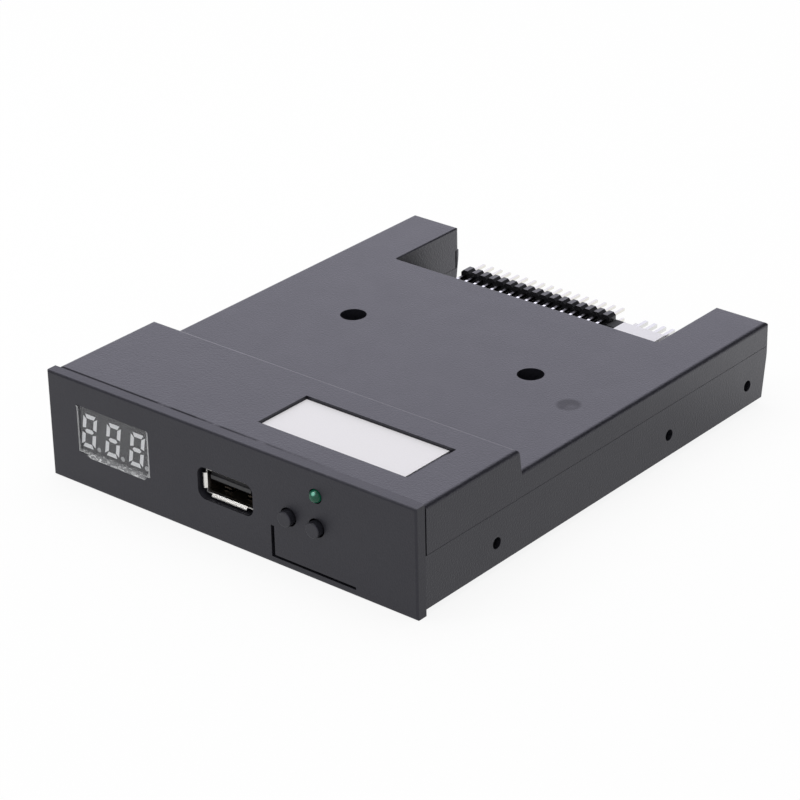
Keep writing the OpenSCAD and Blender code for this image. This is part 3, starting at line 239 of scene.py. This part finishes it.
def milkyResin(name, look):  # diffusing epoxy, cast: off-white and speckled, the points a shade greyer
    material, tree, shader, place = startMaterial(name, {"Roughness": look["rough"]})
    spot = addNode(tree, "ShaderNodeSeparateXYZ", {0: place})
    pointFrom = look["pointFrom"] * mm
    along = addNode(tree, "ShaderNodeMath", {
        0: spot["X"], 1: pointFrom, 2: pointFrom + look["pitch"] * mm}, operation="WRAP")[0]
    inside = addNode(tree, "ShaderNodeMath", {
        0: along, 1: pointFrom + look["pointWidth"] * mm}, operation="LESS_THAN")[0]
    low = addNode(tree, "ShaderNodeMath", {0: spot["Z"], 1: look["pointTop"] * mm}, operation="LESS_THAN")[0]
    point = addNode(tree, "ShaderNodeMath", {0: inside, 1: low}, operation="MULTIPLY")[0]
    grain = addNode(tree, "ShaderNodeTexNoise", {
        "Vector": place, "Scale": perMm(look["grain"]), "Detail": 3})["Fac"]
    milk = addNode(tree, "ShaderNodeMix", {
        "Factor": grain, "A": linear(look["dark"]), "B": linear(look["light"])}, data_type="RGBA")[2]
    colour = addNode(tree, "ShaderNodeMix", {
        "Factor": point, "A": milk, "B": linear(look["point"])}, data_type="RGBA")[2]
    plug(tree, shader, {"Base Color": colour})
    return material


# status light

ledLow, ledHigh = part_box("status_led")
lensLook = {"sockets": {"IOR": 1.55, "Roughness": 0.06, "Specular IOR Level": 0.3}, "dark": "#07402e",
            "light": "#0c5a41", "chip": "#86d2ba", "grain": 1.2, "reach": (0.2, 0.62),
            "off": (0.15, 0.45, 0.9)}  # the painted highlight's place from the middle of the lens's front


def tintedLens(name, look):  # clear green epoxy, cast: deep colour, wet gloss, a painted highlight high on its front
    material, tree, shader, place = startMaterial(name, look["sockets"])
    grain = addNode(tree, "ShaderNodeTexNoise", {
        "Vector": place, "Scale": perMm(look["grain"]), "Detail": 2})["Fac"]
    body = addNode(tree, "ShaderNodeMix", {
        "Factor": grain, "A": linear(look["dark"]), "B": linear(look["light"])}, data_type="RGBA")[2]
    tip = Vector(((ledLow.x + ledHigh.x) / 2, ledLow.y, (ledLow.z + ledHigh.z) / 2))
    # a pale spot painted where the front lamp's highlight falls on the dome
    far = addNode(tree, "ShaderNodeVectorMath", {
        0: place, 1: tip + Vector(look["off"]) * mm}, operation="DISTANCE")["Value"]
    chip = addNode(tree, "ShaderNodeMapRange", {
        "Value": far, "From Min": look["reach"][1] * mm, "From Max": look["reach"][0] * mm},
        interpolation_type="SMOOTHSTEP")["Result"]
    colour = addNode(tree, "ShaderNodeMix", {
        "Factor": chip, "A": body, "B": linear(look["chip"])}, data_type="RGBA")[2]
    plug(tree, shader, {"Base Color": colour})
    return material


# film over the display: masks give where it clouds and where highlights are painted on, from and to in mm
# along Z or X

filmLook = {"sockets": {"IOR": 1.49, "Roughness": 0.12}, "dark": "#e8ebef", "light": "#ffffff", "haze": 0.03,
            "lipHaze": 0.17, "paintedGlint": 0.6, "paintedGlintFrom": (0.5, 0.68), "streak": 0.55, "flow": (0.45, 1, 1),
            "lip": (9.3, 8.3), "right": (-22.5, -21.9), "left": (-41.9, -42.38), "paintedEdgeLight": 0.35}


def castFilm(name, look):  # clear cast film: nearly unseen when flat, milky where it is creased, with painted glints there and painted highlights along its sides
    material, tree, shader, place = startMaterial(name, look["sockets"])
    spot = addNode(tree, "ShaderNodeSeparateXYZ", {0: place})
    masks = {}
    for part, axis in (("lip", "Z"), ("right", "X"), ("left", "X")):
        masks[part] = addNode(tree, "ShaderNodeMapRange", {
            "Value": spot[axis], "From Min": look[part][0] * mm, "From Max": look[part][1] * mm,
            "To Min": 0.0, "To Max": 1.0}, interpolation_type="SMOOTHSTEP")["Result"]
    flow = addNode(tree, "ShaderNodeMapping", {"Vector": place, "Scale": look["flow"]})["Vector"]
    streak = addNode(tree, "ShaderNodeTexNoise", {
        "Vector": flow, "Scale": perMm(look["streak"]), "Detail": 3, "Roughness": 0.7,
        "Distortion": 1.2})["Fac"]
    # white streaks in the creased lip: painted glints
    paintedGlint = addNode(tree, "ShaderNodeMapRange", {
        "Value": streak, "From Min": look["paintedGlintFrom"][0], "From Max": look["paintedGlintFrom"][1],
        "To Min": 0.0, "To Max": look["paintedGlint"]}, interpolation_type="SMOOTHSTEP")["Result"]
    milkAndGlints = addNode(tree, "ShaderNodeMath", {0: paintedGlint, 1: look["lipHaze"]}, operation="ADD")[0]
    lip = addNode(tree, "ShaderNodeMath", {0: masks["lip"], 1: milkAndGlints}, operation="MULTIPLY")[0]
    # side edges whitened: a painted highlight
    sides = addNode(tree, "ShaderNodeMath", {0: masks["right"], 1: masks["left"]}, operation="MAXIMUM")[0]
    rim = addNode(tree, "ShaderNodeMath", {0: sides, 1: look["paintedEdgeLight"]}, operation="MULTIPLY")[0]
    cloudAndLight = addNode(tree, "ShaderNodeMath", {0: lip, 1: rim}, operation="MAXIMUM")[0]
    alpha = addNode(tree, "ShaderNodeMath", {0: cloudAndLight, 1: look["haze"]}, operation="MAXIMUM")[0]
    colour = addNode(tree, "ShaderNodeMix", {
        "Factor": streak, "A": linear(look["dark"]), "B": linear(look["light"])}, data_type="RGBA")[2]
    plug(tree, shader, {"Base Color": colour, "Alpha": alpha})
    return material


# header pins: the plating changes along Y, with painted shade on the tin and a painted highlight band by the
# elbows, in mm

pinLook = {"goldDark": "#b3b1ab", "goldLight": "#c3c1bb", "shadedTinDark": "#39383b", "shadedTinLight": "#4b4a4d",
           "pinGlint": "#f4f4f6", "change": (53.2, 53.6), "glintBand": (50.7, 51.0), "grain": 0.2,
           "goldRough": 0.2, "tinRough": 0.3, "bump": 0.1, "depth": 0.005}


def platedPin(name, look):  # drawn brass pin: pale flash gold at the mating end, tin darkened by painted shade at the soldered end, a painted highlight by the elbow
    material, tree, shader, place = startMaterial(name, metal)
    spot = addNode(tree, "ShaderNodeSeparateXYZ", {0: place})
    mating = addNode(tree, "ShaderNodeMapRange", {
        "Value": spot["Y"], "From Min": look["change"][0] * mm, "From Max": look["change"][1] * mm})["Result"]
    grain = addNode(tree, "ShaderNodeTexNoise", {
        "Vector": place, "Scale": perMm(look["grain"]), "Detail": 3})["Fac"]
    gold = addNode(tree, "ShaderNodeMix", {
        "Factor": grain, "A": linear(look["goldDark"]), "B": linear(look["goldLight"])}, data_type="RGBA")[2]
    # tin at the soldered end, darkened: partly its own dull tone, partly painted shade
    tin = addNode(tree, "ShaderNodeMix", {
        "Factor": grain, "A": linear(look["shadedTinDark"]), "B": linear(look["shadedTinLight"])}, data_type="RGBA")[2]
    plated = addNode(tree, "ShaderNodeMix", {"Factor": mating, "A": tin, "B": gold}, data_type="RGBA")[2]
    # white band near the elbows: a painted highlight
    pastGlint = addNode(tree, "ShaderNodeMapRange", {
        "Value": spot["Y"], "From Min": look["glintBand"][0] * mm, "From Max": look["glintBand"][1] * mm})["Result"]
    colour = addNode(tree, "ShaderNodeMix", {
        "Factor": pastGlint, "A": linear(look["pinGlint"]), "B": plated}, data_type="RGBA")[2]
    rough = addNode(tree, "ShaderNodeMapRange", {
        "Value": mating, "To Min": look["tinRough"], "To Max": look["goldRough"]})["Result"]
    bump = addNode(tree, "ShaderNodeBump", {
        "Height": grain, "Strength": look["bump"], "Distance": look["depth"] * mm})["Normal"]
    plug(tree, shader, {"Base Color": colour, "Roughness": rough, "Normal": bump})
    return material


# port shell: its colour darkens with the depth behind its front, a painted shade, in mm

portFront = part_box("port_shell")[0].y
shellLook = {"dark": "#dcd8ce", "light": "#ffffff", "shadedInside": "#8f887d", "depth": (0.95, 1.5), "grain": 0.3,
             "stretch": (0.1, 1, 1), "rough": (0.26, 0.38), "bump": 0.25, "bumpDepth": 0.01}


def platedSheet(name, look):  # rolled sheet, nickel plated: warm white lips with drawn lines, darkened inside by painted shade
    material, tree, shader, place = startMaterial(name, metal)
    drawn = addNode(tree, "ShaderNodeMapping", {"Vector": place, "Scale": look["stretch"]})["Vector"]
    lines = addNode(tree, "ShaderNodeTexNoise", {
        "Vector": drawn, "Scale": perMm(look["grain"]), "Detail": 3})["Fac"]
    bright = addNode(tree, "ShaderNodeMix", {
        "Factor": lines, "A": linear(look["dark"]), "B": linear(look["light"])}, data_type="RGBA")[2]
    inward = addNode(tree, "ShaderNodeSeparateXYZ", {0: place})["Y"]
    # painted shade: darker deeper inside the shell
    shadedInside = addNode(tree, "ShaderNodeMapRange", {
        "Value": inward, "From Min": portFront + look["depth"][0] * mm,
        "From Max": portFront + look["depth"][1] * mm})["Result"]
    colour = addNode(tree, "ShaderNodeMix", {
        "Factor": shadedInside, "A": bright, "B": linear(look["shadedInside"])}, data_type="RGBA")[2]
    rough = addNode(tree, "ShaderNodeMapRange", {
        "Value": lines, "From Min": noiseLow, "From Max": noiseHigh,
        "To Min": look["rough"][0], "To Max": look["rough"][1]})["Result"]
    bump = addNode(tree, "ShaderNodeBump", {
        "Height": lines, "Strength": look["bump"], "Distance": look["bumpDepth"] * mm})["Normal"]
    plug(tree, shader, {"Base Color": colour, "Roughness": rough, "Normal": bump})
    return material


materials = {slot: plainFinish(slot, look) for slot, look in finishes.items()}
ownFinishes = {
    "nickel_shell": (platedSheet, shellLook),
    "circuit_board": (solderMask, boardLook),
    "segment_resin": (milkyResin, segmentLook),
    "green_lens": (tintedLens, lensLook),
    "clear_film": (castFilm, filmLook),
    "gold_plate": (platedPin, pinLook),
    "case_plastic": (mouldedAbs, caseLook),
    "bezel_plastic": (mouldedAbs, bezelLook),
    "button_plastic": (mouldedAbs, buttonLook),
}
for slot, (make, look) in ownFinishes.items():
    materials[slot] = make(slot, look)
print("materials:", len(materials))

dressed = {
    "case_plastic": ["upper_shell", "lower_shell"],
    "bezel_plastic": ["front_bezel"],
    "label_paper": ["label"],
    "clear_film": ["display_film"],
    "display_face": ["display_module"],
    "segment_resin": ["display_segments"],
    "circuit_board": ["display_board", "main_board"],
    "chip_resin": ["display_driver", "microcontroller", "regulator", "line_driver", "input_capacitor"],
    "connector_black": ["display_link", "switch_body_left", "switch_body_right", "port_tongue",
                        "floppy_header"],
    "gold_plate": ["floppy_pins"],
    "contact_gold": ["display_link_pins", "port_contacts"],
    "tinned_metal": ["led_leads", "power_pins", "switch_frame_left", "switch_frame_right", "switch_dome_left",
                     "switch_dome_right"],
    "zinc_steel": ["display_screws", "board_screws"],
    "black_steel": ["case_screws"],
    "nickel_shell": ["port_shell", "crystal"],
    "green_lens": ["status_led"],
    "button_plastic": ["button_left", "button_right"],
    "white_nylon": ["power_connector"],
    "capacitor_can": ["filter_capacitors"],
}
for slot, names in dressed.items():
    for name in names:
        nodes[name].data.materials.clear()
        nodes[name].data.materials.append(materials[slot])
print("dressed:", sum(len(names) for names in dressed.values()), "nodes")


# modelling helpers

def named(piece, name):  # object and mesh alike
    piece.name = name
    piece.data.name = name
    return piece


def startPiece(name, add, **settings):  # a primitive at its size and place, open in edit mode
    bpy.ops.object.select_all(action="DESELECT")
    add(**settings)
    piece = named(bpy.context.object, name)
    bpy.ops.object.transform_apply(location=True, rotation=True, scale=True)
    bpy.ops.object.mode_set(mode="EDIT")
    return piece


def pick(kind, test):  # select verts or faces by place or normal
    bpy.ops.mesh.select_mode(type={"verts": "VERT", "faces": "FACE"}[kind])
    bpy.ops.mesh.select_all(action="DESELECT")
    mesh = bmesh.from_edit_mesh(bpy.context.object.data)
    for element in getattr(mesh, kind):
        if test(element):
            element.select_set(True)
    mesh.select_flush_mode()
    bmesh.update_edit_mesh(bpy.context.object.data)


def extrude(x, y, z):  # what is selected, by that much
    bpy.ops.mesh.extrude_region_move(TRANSFORM_OT_translate={"value": (x, y, z)})


def applied(piece, kind, **settings):  # a modifier, applied at once
    bpy.context.view_layer.objects.active = piece
    modifier = piece.modifiers.new(kind.lower(), kind)
    for name, value in settings.items():
        setattr(modifier, name, value)
    bpy.ops.object.modifier_apply(modifier=modifier.name)


def repeated(piece, count, pitch):  # copies along X
    applied(piece, "ARRAY", count=count, use_relative_offset=False, use_constant_offset=True,
            constant_offset_displace=(pitch, 0, 0))


def joined(name, *others):  # several pieces made one
    bpy.ops.object.select_all(action="DESELECT")
    for other in others:
        other.select_set(True)
    bpy.context.view_layer.objects.active = others[0]
    bpy.ops.object.join()
    return named(bpy.context.object, name)


def keep(piece, slot, body, *stoodFor):  # finish, body and the node that it stands for
    piece.data.materials.clear()
    piece.data.materials.append(materials[slot])
    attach(piece, body)
    if stoodFor:
        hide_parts(*stoodFor)
    print("piece:", piece.name, len(piece.data.polygons), "faces")


# film over the display: a flat sheet whose edges turn forward and whose lower edge bulges out in creases

filmLow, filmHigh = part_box("display_film")
sheetLook = {"back": 0.12 * mm, "bottom": 0.8 * mm, "cuts": 39, "near": 0.01 * mm,
             "leftMove": (0, -0.42 * mm, 0), "rightMove": (0, -0.3 * mm, 0), "sideReach": 0.9 * mm,
             "topMove": (0, -0.2 * mm, 0), "topReach": 0.5 * mm,
             "lipSteps": (0.9 * mm, 2.0 * mm, 3.2 * mm), "lipEnd": 1.4 * mm,
             "lipMove": (0, -0.6 * mm, -0.72 * mm), "lipReach": 1.5 * mm,
             "crease": 0.9 * mm, "creaseDetail": 2, "creaseDepth": 0.15 * mm, "creaseTop": 1.0 * mm,
             "thick": 0.04 * mm}
sheetBottom = filmLow.z + sheetLook["bottom"]
sheetSize = (filmHigh.x - filmLow.x, 1, filmHigh.z - sheetBottom)
sheetMid = Vector(((filmLow.x + filmHigh.x) / 2, filmHigh.y - sheetLook["back"],
                   (sheetBottom + filmHigh.z) / 2))
film = startPiece("filmSheet", bpy.ops.mesh.primitive_plane_add, size=1, location=sheetMid,
                  rotation=(math.radians(90), 0, 0))
bpy.ops.mesh.select_all(action="SELECT")
bpy.ops.transform.resize(value=sheetSize, center_override=sheetMid)
bpy.ops.mesh.subdivide(number_cuts=sheetLook["cuts"])
near = sheetLook["near"]


def pull(test, move, reach):  # proportional pull on the picked points
    pick("verts", test)
    bpy.ops.transform.translate(value=move, use_proportional_edit=True, proportional_edit_falloff="SMOOTH",
                                proportional_size=reach)


pull(lambda v: v.co.x < filmLow.x + near, sheetLook["leftMove"], sheetLook["sideReach"])
pull(lambda v: v.co.x > filmHigh.x - near, sheetLook["rightMove"], sheetLook["sideReach"])
pull(lambda v: v.co.z > filmHigh.z - near, sheetLook["topMove"], sheetLook["topReach"])
lowest = {v.index for v in bmesh.from_edit_mesh(film.data).verts if v.co.z < sheetBottom + near}
lipMove = Vector(sheetLook["lipMove"]) / len(sheetLook["lipSteps"])
lipEnd = filmHigh.x - sheetLook["lipEnd"]
for step in sheetLook["lipSteps"]:  # the lip grows from the left corner in steps
    pull(lambda v: v.index in lowest and filmLow.x + step < v.co.x < lipEnd, lipMove, sheetLook["lipReach"])
bpy.ops.object.mode_set(mode="OBJECT")
creased = film.vertex_groups.new(name="creased")
for vertex in film.data.vertices:
    share = (sheetBottom + sheetLook["creaseTop"] - vertex.co.z) / sheetLook["creaseTop"]
    creased.add([vertex.index], min(max(share, 0), 1), "REPLACE")
creaseNoise = bpy.data.textures.new("creases", "CLOUDS")
creaseNoise.noise_scale = sheetLook["crease"]
creaseNoise.noise_depth = sheetLook["creaseDetail"]
applied(film, "DISPLACE", texture=creaseNoise, texture_coords="LOCAL", direction="Y", mid_level=0.5,
        strength=sheetLook["creaseDepth"], vertex_group="creased")
applied(film, "SOLIDIFY", thickness=sheetLook["thick"], offset=0)
bpy.ops.object.shade_smooth()
keep(film, "clear_film", "case", "display_film")


# port shell: the sheet metal of the node, with its lips rolled out to half a right angle

lipShape = {"root": 1.0 * mm, "forward": 0.5 * mm, "sideOut": 0.06 * mm, "topOut": 0.1 * mm,
            "near": 0.05 * mm, "band": 0.8 * mm, "weld": 0.002 * mm, "smooth": 25}
bpy.ops.object.select_all(action="DESELECT")
nodes["port_shell"].select_set(True)
bpy.context.view_layer.objects.active = nodes["port_shell"]
bpy.ops.object.duplicate()
portShell = named(bpy.context.object, "portShell")
for key in [key for key in portShell.keys() if key.startswith("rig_")]:
    del portShell[key]
bpy.ops.object.mode_set(mode="EDIT")
bpy.ops.mesh.select_all(action="SELECT")
bpy.ops.mesh.remove_doubles(threshold=lipShape["weld"])
lipRoot = portFront + lipShape["root"]
tipBack = portFront + lipShape["near"]
pick("verts", lambda v: abs(v.co.y - lipRoot) < lipShape["near"])
bpy.ops.transform.translate(value=(0, -lipShape["forward"], 0))
tips = [v.co.copy() for v in bmesh.from_edit_mesh(portShell.data).verts if v.co.y < tipBack]
leftLip = min(tip.x for tip in tips) + lipShape["band"]  # one lip's tips lie within a band of its outer edge
rightLip = max(tip.x for tip in tips) - lipShape["band"]
topLip = max(tip.z for tip in tips) - lipShape["band"]


def roll(test, move):  # one lip's tips, outwards
    pick("verts", lambda v: v.co.y < tipBack and test(v.co))
    bpy.ops.transform.translate(value=move)


roll(lambda c: c.x < leftLip, (-lipShape["sideOut"], 0, 0))
roll(lambda c: c.x > rightLip, (lipShape["sideOut"], 0, 0))
roll(lambda c: c.z > topLip and abs(c.x) < rightLip, (0, 0, lipShape["topOut"]))
bpy.ops.object.mode_set(mode="OBJECT")
bpy.ops.object.shade_smooth_by_angle(angle=math.radians(lipShape["smooth"]))
keep(portShell, "nickel_shell", "case", "port_shell")


# header pins: square wire with rounded elbows and pointed ends, two rows

pinLow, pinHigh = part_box("floppy_pins")
pinShape = {"wire": 0.64 * mm, "row": 2.54 * mm, "count": 17, "elbow": 0.55 * mm, "steps": 5,
            "point": 0.3 * mm, "pointShare": 0.55, "weld": 0.001 * mm, "smooth": 35}
half = pinShape["wire"] / 2
pinPitch = (pinHigh.x - pinLow.x - pinShape["wire"]) / (pinShape["count"] - 1)


def bentPin(name, level, legAt):  # from the mating tip, round the elbow, down to the soldered end
    start = Vector((pinLow.x + half, pinHigh.y, level))
    pin = startPiece(name, bpy.ops.mesh.primitive_plane_add, size=pinShape["wire"], location=start,
                     rotation=(math.radians(-90), 0, 0))
    bpy.ops.mesh.select_all(action="SELECT")
    shrink = pinShape["pointShare"]
    bpy.ops.transform.resize(value=(shrink, 1, shrink), center_override=start)
    extrude(0, -pinShape["point"], 0)
    bpy.ops.transform.resize(value=(1 / shrink, 1, 1 / shrink), center_override=start)
    extrude(0, legAt + pinShape["elbow"] - pinHigh.y + pinShape["point"], 0)
    bend = (start.x, legAt + pinShape["elbow"], level - pinShape["elbow"])
    bpy.ops.mesh.spin(steps=pinShape["steps"], angle=math.radians(90), center=bend, axis=(1, 0, 0))
    extrude(0, 0, pinLow.z + pinShape["point"] - level + pinShape["elbow"])
    extrude(0, 0, -pinShape["point"])
    bpy.ops.transform.resize(value=(shrink, shrink, 1), center_override=(start.x, legAt, pinLow.z))
    bpy.ops.mesh.select_all(action="SELECT")
    bpy.ops.mesh.remove_doubles(threshold=pinShape["weld"])
    bpy.ops.mesh.normals_make_consistent(inside=False)
    bpy.ops.object.mode_set(mode="OBJECT")
    repeated(pin, pinShape["count"], pinPitch)
    return pin


legRows = (pinLow.y + half, pinLow.y + half + pinShape["row"])
upperPins = bentPin("upperPins", pinHigh.z - half, legRows[0])
lowerPins = bentPin("lowerPins", pinHigh.z - half - pinShape["row"], legRows[1])
headerPins = joined("headerPins", upperPins, lowerPins)
bpy.ops.object.shade_smooth_by_angle(angle=math.radians(pinShape["smooth"]))
keep(headerPins, "gold_plate", "case", "floppy_pins")


# solder joints: a hollow cone of solder round each leg, on both faces of the board

boardLow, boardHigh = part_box("main_board")
powerLow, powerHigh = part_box("power_pins")
jointShape = {"sides": 12, "foot": 0.86 * mm, "skirt": 0.03 * mm, "powerCount": 4, "powerWire": 0.9 * mm,
              "rings": ((0.72, 0.16 * mm), (0.74, 0.2 * mm), (0.84, 0.22 * mm)),  # share of the width, rise
              "topFacing": 0.9, "smooth": 50}


def solderRow(name, first, count, pitch, up):  # one cone, then its copies along the row
    joint = startPiece(name, bpy.ops.mesh.primitive_cylinder_add, vertices=jointShape["sides"],
                       radius=jointShape["foot"], depth=jointShape["skirt"],
                       location=(first.x, first.y, first.z + up * jointShape["skirt"] / 2))
    pick("faces", lambda f: f.normal.z * up > jointShape["topFacing"])
    for share, rise in jointShape["rings"]:
        extrude(0, 0, up * rise)
        bpy.ops.transform.resize(value=(share, share, 1), center_override=first)
    bpy.ops.mesh.select_all(action="SELECT")
    bpy.ops.mesh.normals_make_consistent(inside=False)
    bpy.ops.object.mode_set(mode="OBJECT")
    bpy.ops.object.shade_smooth_by_angle(angle=math.radians(jointShape["smooth"]))
    repeated(joint, count, pitch)
    return joint


rows = []
powerHalf = jointShape["powerWire"] / 2
powerPitch = (powerHigh.x - powerLow.x - jointShape["powerWire"]) / (jointShape["powerCount"] - 1)
for level, up in ((boardHigh.z, 1), (boardLow.z, -1)):
    for legAt in legRows:
        first = Vector((pinLow.x + half, legAt, level))
        rows.append(solderRow("headerSolder", first, pinShape["count"], pinPitch, up))
    first = Vector((powerLow.x + powerHalf, powerLow.y + powerHalf, level))
    rows.append(solderRow("powerSolder", first, jointShape["powerCount"], powerPitch, up))
solderJoints = joined("solderJoints", *rows)
keep(solderJoints, "tinned_metal", "case")


# camera, fitted to the photograph's edges

cameraSettings = {"turn": 40.240, "rise": 26.525, "roll": -1.213, "lens": 135.28, "sensor": 36,
                  "place": (377.69, -451.06, 302.88)}
cameraData = bpy.data.cameras.new("camera")
cameraData.sensor_width = cameraSettings["sensor"]
cameraData.lens = cameraSettings["lens"]
camera = bpy.data.objects.new("camera", cameraData)
scene.collection.objects.link(camera)
camera.matrix_world = (Matrix.Translation(Vector(cameraSettings["place"]) * mm)
                       @ Matrix.Rotation(math.radians(cameraSettings["turn"]), 4, "Z")
                       @ Matrix.Rotation(math.radians(90 - cameraSettings["rise"]), 4, "X")
                       @ Matrix.Rotation(math.radians(cameraSettings["roll"]), 4, "Z"))
scene.camera = camera
print("camera:", cameraSettings["lens"], "mm lens")


# white tent: a floor that stays white to the camera, and walls that the glossy case mirrors

tentSettings = {"floor": "#ffffff", "glow": 0.88, "floorSize": 30, "acrossEdge": (-0.08, 0.08),
                "acrossLevel": (0.97, 0.78), "backEdge": (0.035, 0.09), "backLevel": 0.75,
                "worldLight": 0.55, "air": "#ffffff", "mirroredAir": "#f3f1ff",
                "ringEdge": (0.1, 0.4), "ringLevel": (0.4, 0.05),
                "walls": ({"from": (-0.53, 0.70, 0.46), "edge": (0.66, 0.95), "level": 1.66},
                          {"from": (0.45, -0.75, 0.48), "edge": (0.5, 0.9), "level": 1.1})}


def rayKinds(tree):  # which rays the camera sends, and which a surface mirrors or lets through
    path = addNode(tree, "ShaderNodeLightPath")
    mirrored = addNode(tree, "ShaderNodeMath", {
        0: path["Is Glossy Ray"], 1: path["Is Transmission Ray"]}, operation="MAXIMUM")[0]
    return path["Is Camera Ray"], mirrored


bpy.ops.object.select_all(action="DESELECT")
bpy.ops.mesh.primitive_plane_add(size=tentSettings["floorSize"])
floor = bpy.context.object
floor.name = "floor"
floorMaterial = bpy.data.materials.new("floor")
floorMaterial.use_nodes = True
tree = floorMaterial.node_tree
tree.nodes.clear()
direct, mirrored = rayKinds(tree)
seen = addNode(tree, "ShaderNodeMath", {0: direct, 1: mirrored}, operation="MAXIMUM")[0]
glowShare = addNode(tree, "ShaderNodeMath", {0: seen, 1: tentSettings["glow"]}, operation="MULTIPLY")[0]
where = addNode(tree, "ShaderNodeNewGeometry")
spot = addNode(tree, "ShaderNodeSeparateXYZ", {0: where["Position"]})
across = addNode(tree, "ShaderNodeMapRange", {
    "Value": spot["X"], "From Min": tentSettings["acrossEdge"][0], "From Max": tentSettings["acrossEdge"][1],
    "To Min": tentSettings["acrossLevel"][0], "To Max": tentSettings["acrossLevel"][1]})["Result"]
behind = addNode(tree, "ShaderNodeMapRange", {
    "Value": spot["Y"], "From Min": tentSettings["backEdge"][0], "From Max": tentSettings["backEdge"][1],
    "To Min": 0.0, "To Max": tentSettings["backLevel"]}, interpolation_type="SMOOTHSTEP")["Result"]
mirrorLevel = addNode(tree, "ShaderNodeMath", {0: across, 1: behind}, operation="ADD")[0]
floorLevel = addNode(tree, "ShaderNodeMix", {
    "Factor": mirrored, "A": 1.0, "B": mirrorLevel}, data_type="FLOAT")[0]
matt = addNode(tree, "ShaderNodeBsdfDiffuse", {"Color": linear(tentSettings["floor"])})[0]
white = addNode(tree, "ShaderNodeEmission", {"Strength": floorLevel})[0]
upper = addNode(tree, "ShaderNodeMixShader", {0: glowShare, 1: matt, 2: white})[0]
clear = addNode(tree, "ShaderNodeBsdfTransparent")[0]  # the floor is open from below
both = addNode(tree, "ShaderNodeMixShader", {0: where["Backfacing"], 1: upper, 2: clear})[0]
addNode(tree, "ShaderNodeOutputMaterial", {"Surface": both})
floor.data.materials.append(floorMaterial)

world = bpy.data.worlds.new("tent")
scene.world = world
world.use_nodes = True
tree = world.node_tree
tree.nodes.clear()
direct, mirrored = rayKinds(tree)
direction = addNode(tree, "ShaderNodeTexCoord")["Generated"]
height = addNode(tree, "ShaderNodeSeparateXYZ", {0: direction})["Z"]
sky = addNode(tree, "ShaderNodeMapRange", {
    "Value": height, "From Min": tentSettings["ringEdge"][0], "From Max": tentSettings["ringEdge"][1],
    "To Min": tentSettings["ringLevel"][0], "To Max": tentSettings["ringLevel"][1]},
    interpolation_type="SMOOTHSTEP")["Result"]  # a low ring of light all round
for wall in tentSettings["walls"]:  # two lit walls, behind on the left and in front on the right
    toWall = addNode(tree, "ShaderNodeVectorMath", {
        0: direction, 1: wall["from"]}, operation="DOT_PRODUCT")["Value"]
    lit = addNode(tree, "ShaderNodeMapRange", {
        "Value": toWall, "From Min": wall["edge"][0], "From Max": wall["edge"][1],
        "To Min": 0.0, "To Max": wall["level"]}, interpolation_type="SMOOTHSTEP")["Result"]
    sky = addNode(tree, "ShaderNodeMath", {0: sky, 1: lit}, operation="MAXIMUM")[0]
plain = addNode(tree, "ShaderNodeMix", {
    "Factor": direct, "A": tentSettings["worldLight"], "B": 1.0}, data_type="FLOAT")[0]
skyLevel = addNode(tree, "ShaderNodeMix", {"Factor": mirrored, "A": plain, "B": sky}, data_type="FLOAT")[0]
tint = addNode(tree, "ShaderNodeMix", {
    "Factor": mirrored, "A": linear(tentSettings["air"]),
    "B": linear(tentSettings["mirroredAir"])}, data_type="RGBA")[2]
light = addNode(tree, "ShaderNodeBackground", {"Color": tint, "Strength": skyLevel})[0]
addNode(tree, "ShaderNodeOutputWorld", {"Surface": light})

lamps = {
    "topBox": {"at": (-0.1, 0.1, 0.9), "size": (0.7, 0.7), "watts": 3.6},
    "frontKey": {"at": (-0.42, -0.47, 0.63), "size": (0.2, 0.2), "watts": 0.7},
}
for name, look in lamps.items():  # both aim at the origin
    lampData = bpy.data.lights.new(name, "AREA")
    lampData.shape = "RECTANGLE"
    lampData.size, lampData.size_y = look["size"]
    lampData.energy = look["watts"]
    lamp = bpy.data.objects.new(name, lampData)
    scene.collection.objects.link(lamp)
    lamp.location = look["at"]
    lamp.rotation_euler = (-Vector(look["at"])).to_track_quat("-Z", "Y").to_euler()
scene.view_settings.view_transform = "Standard"
print("stage: floor, tent and", len(lamps), "lamps")
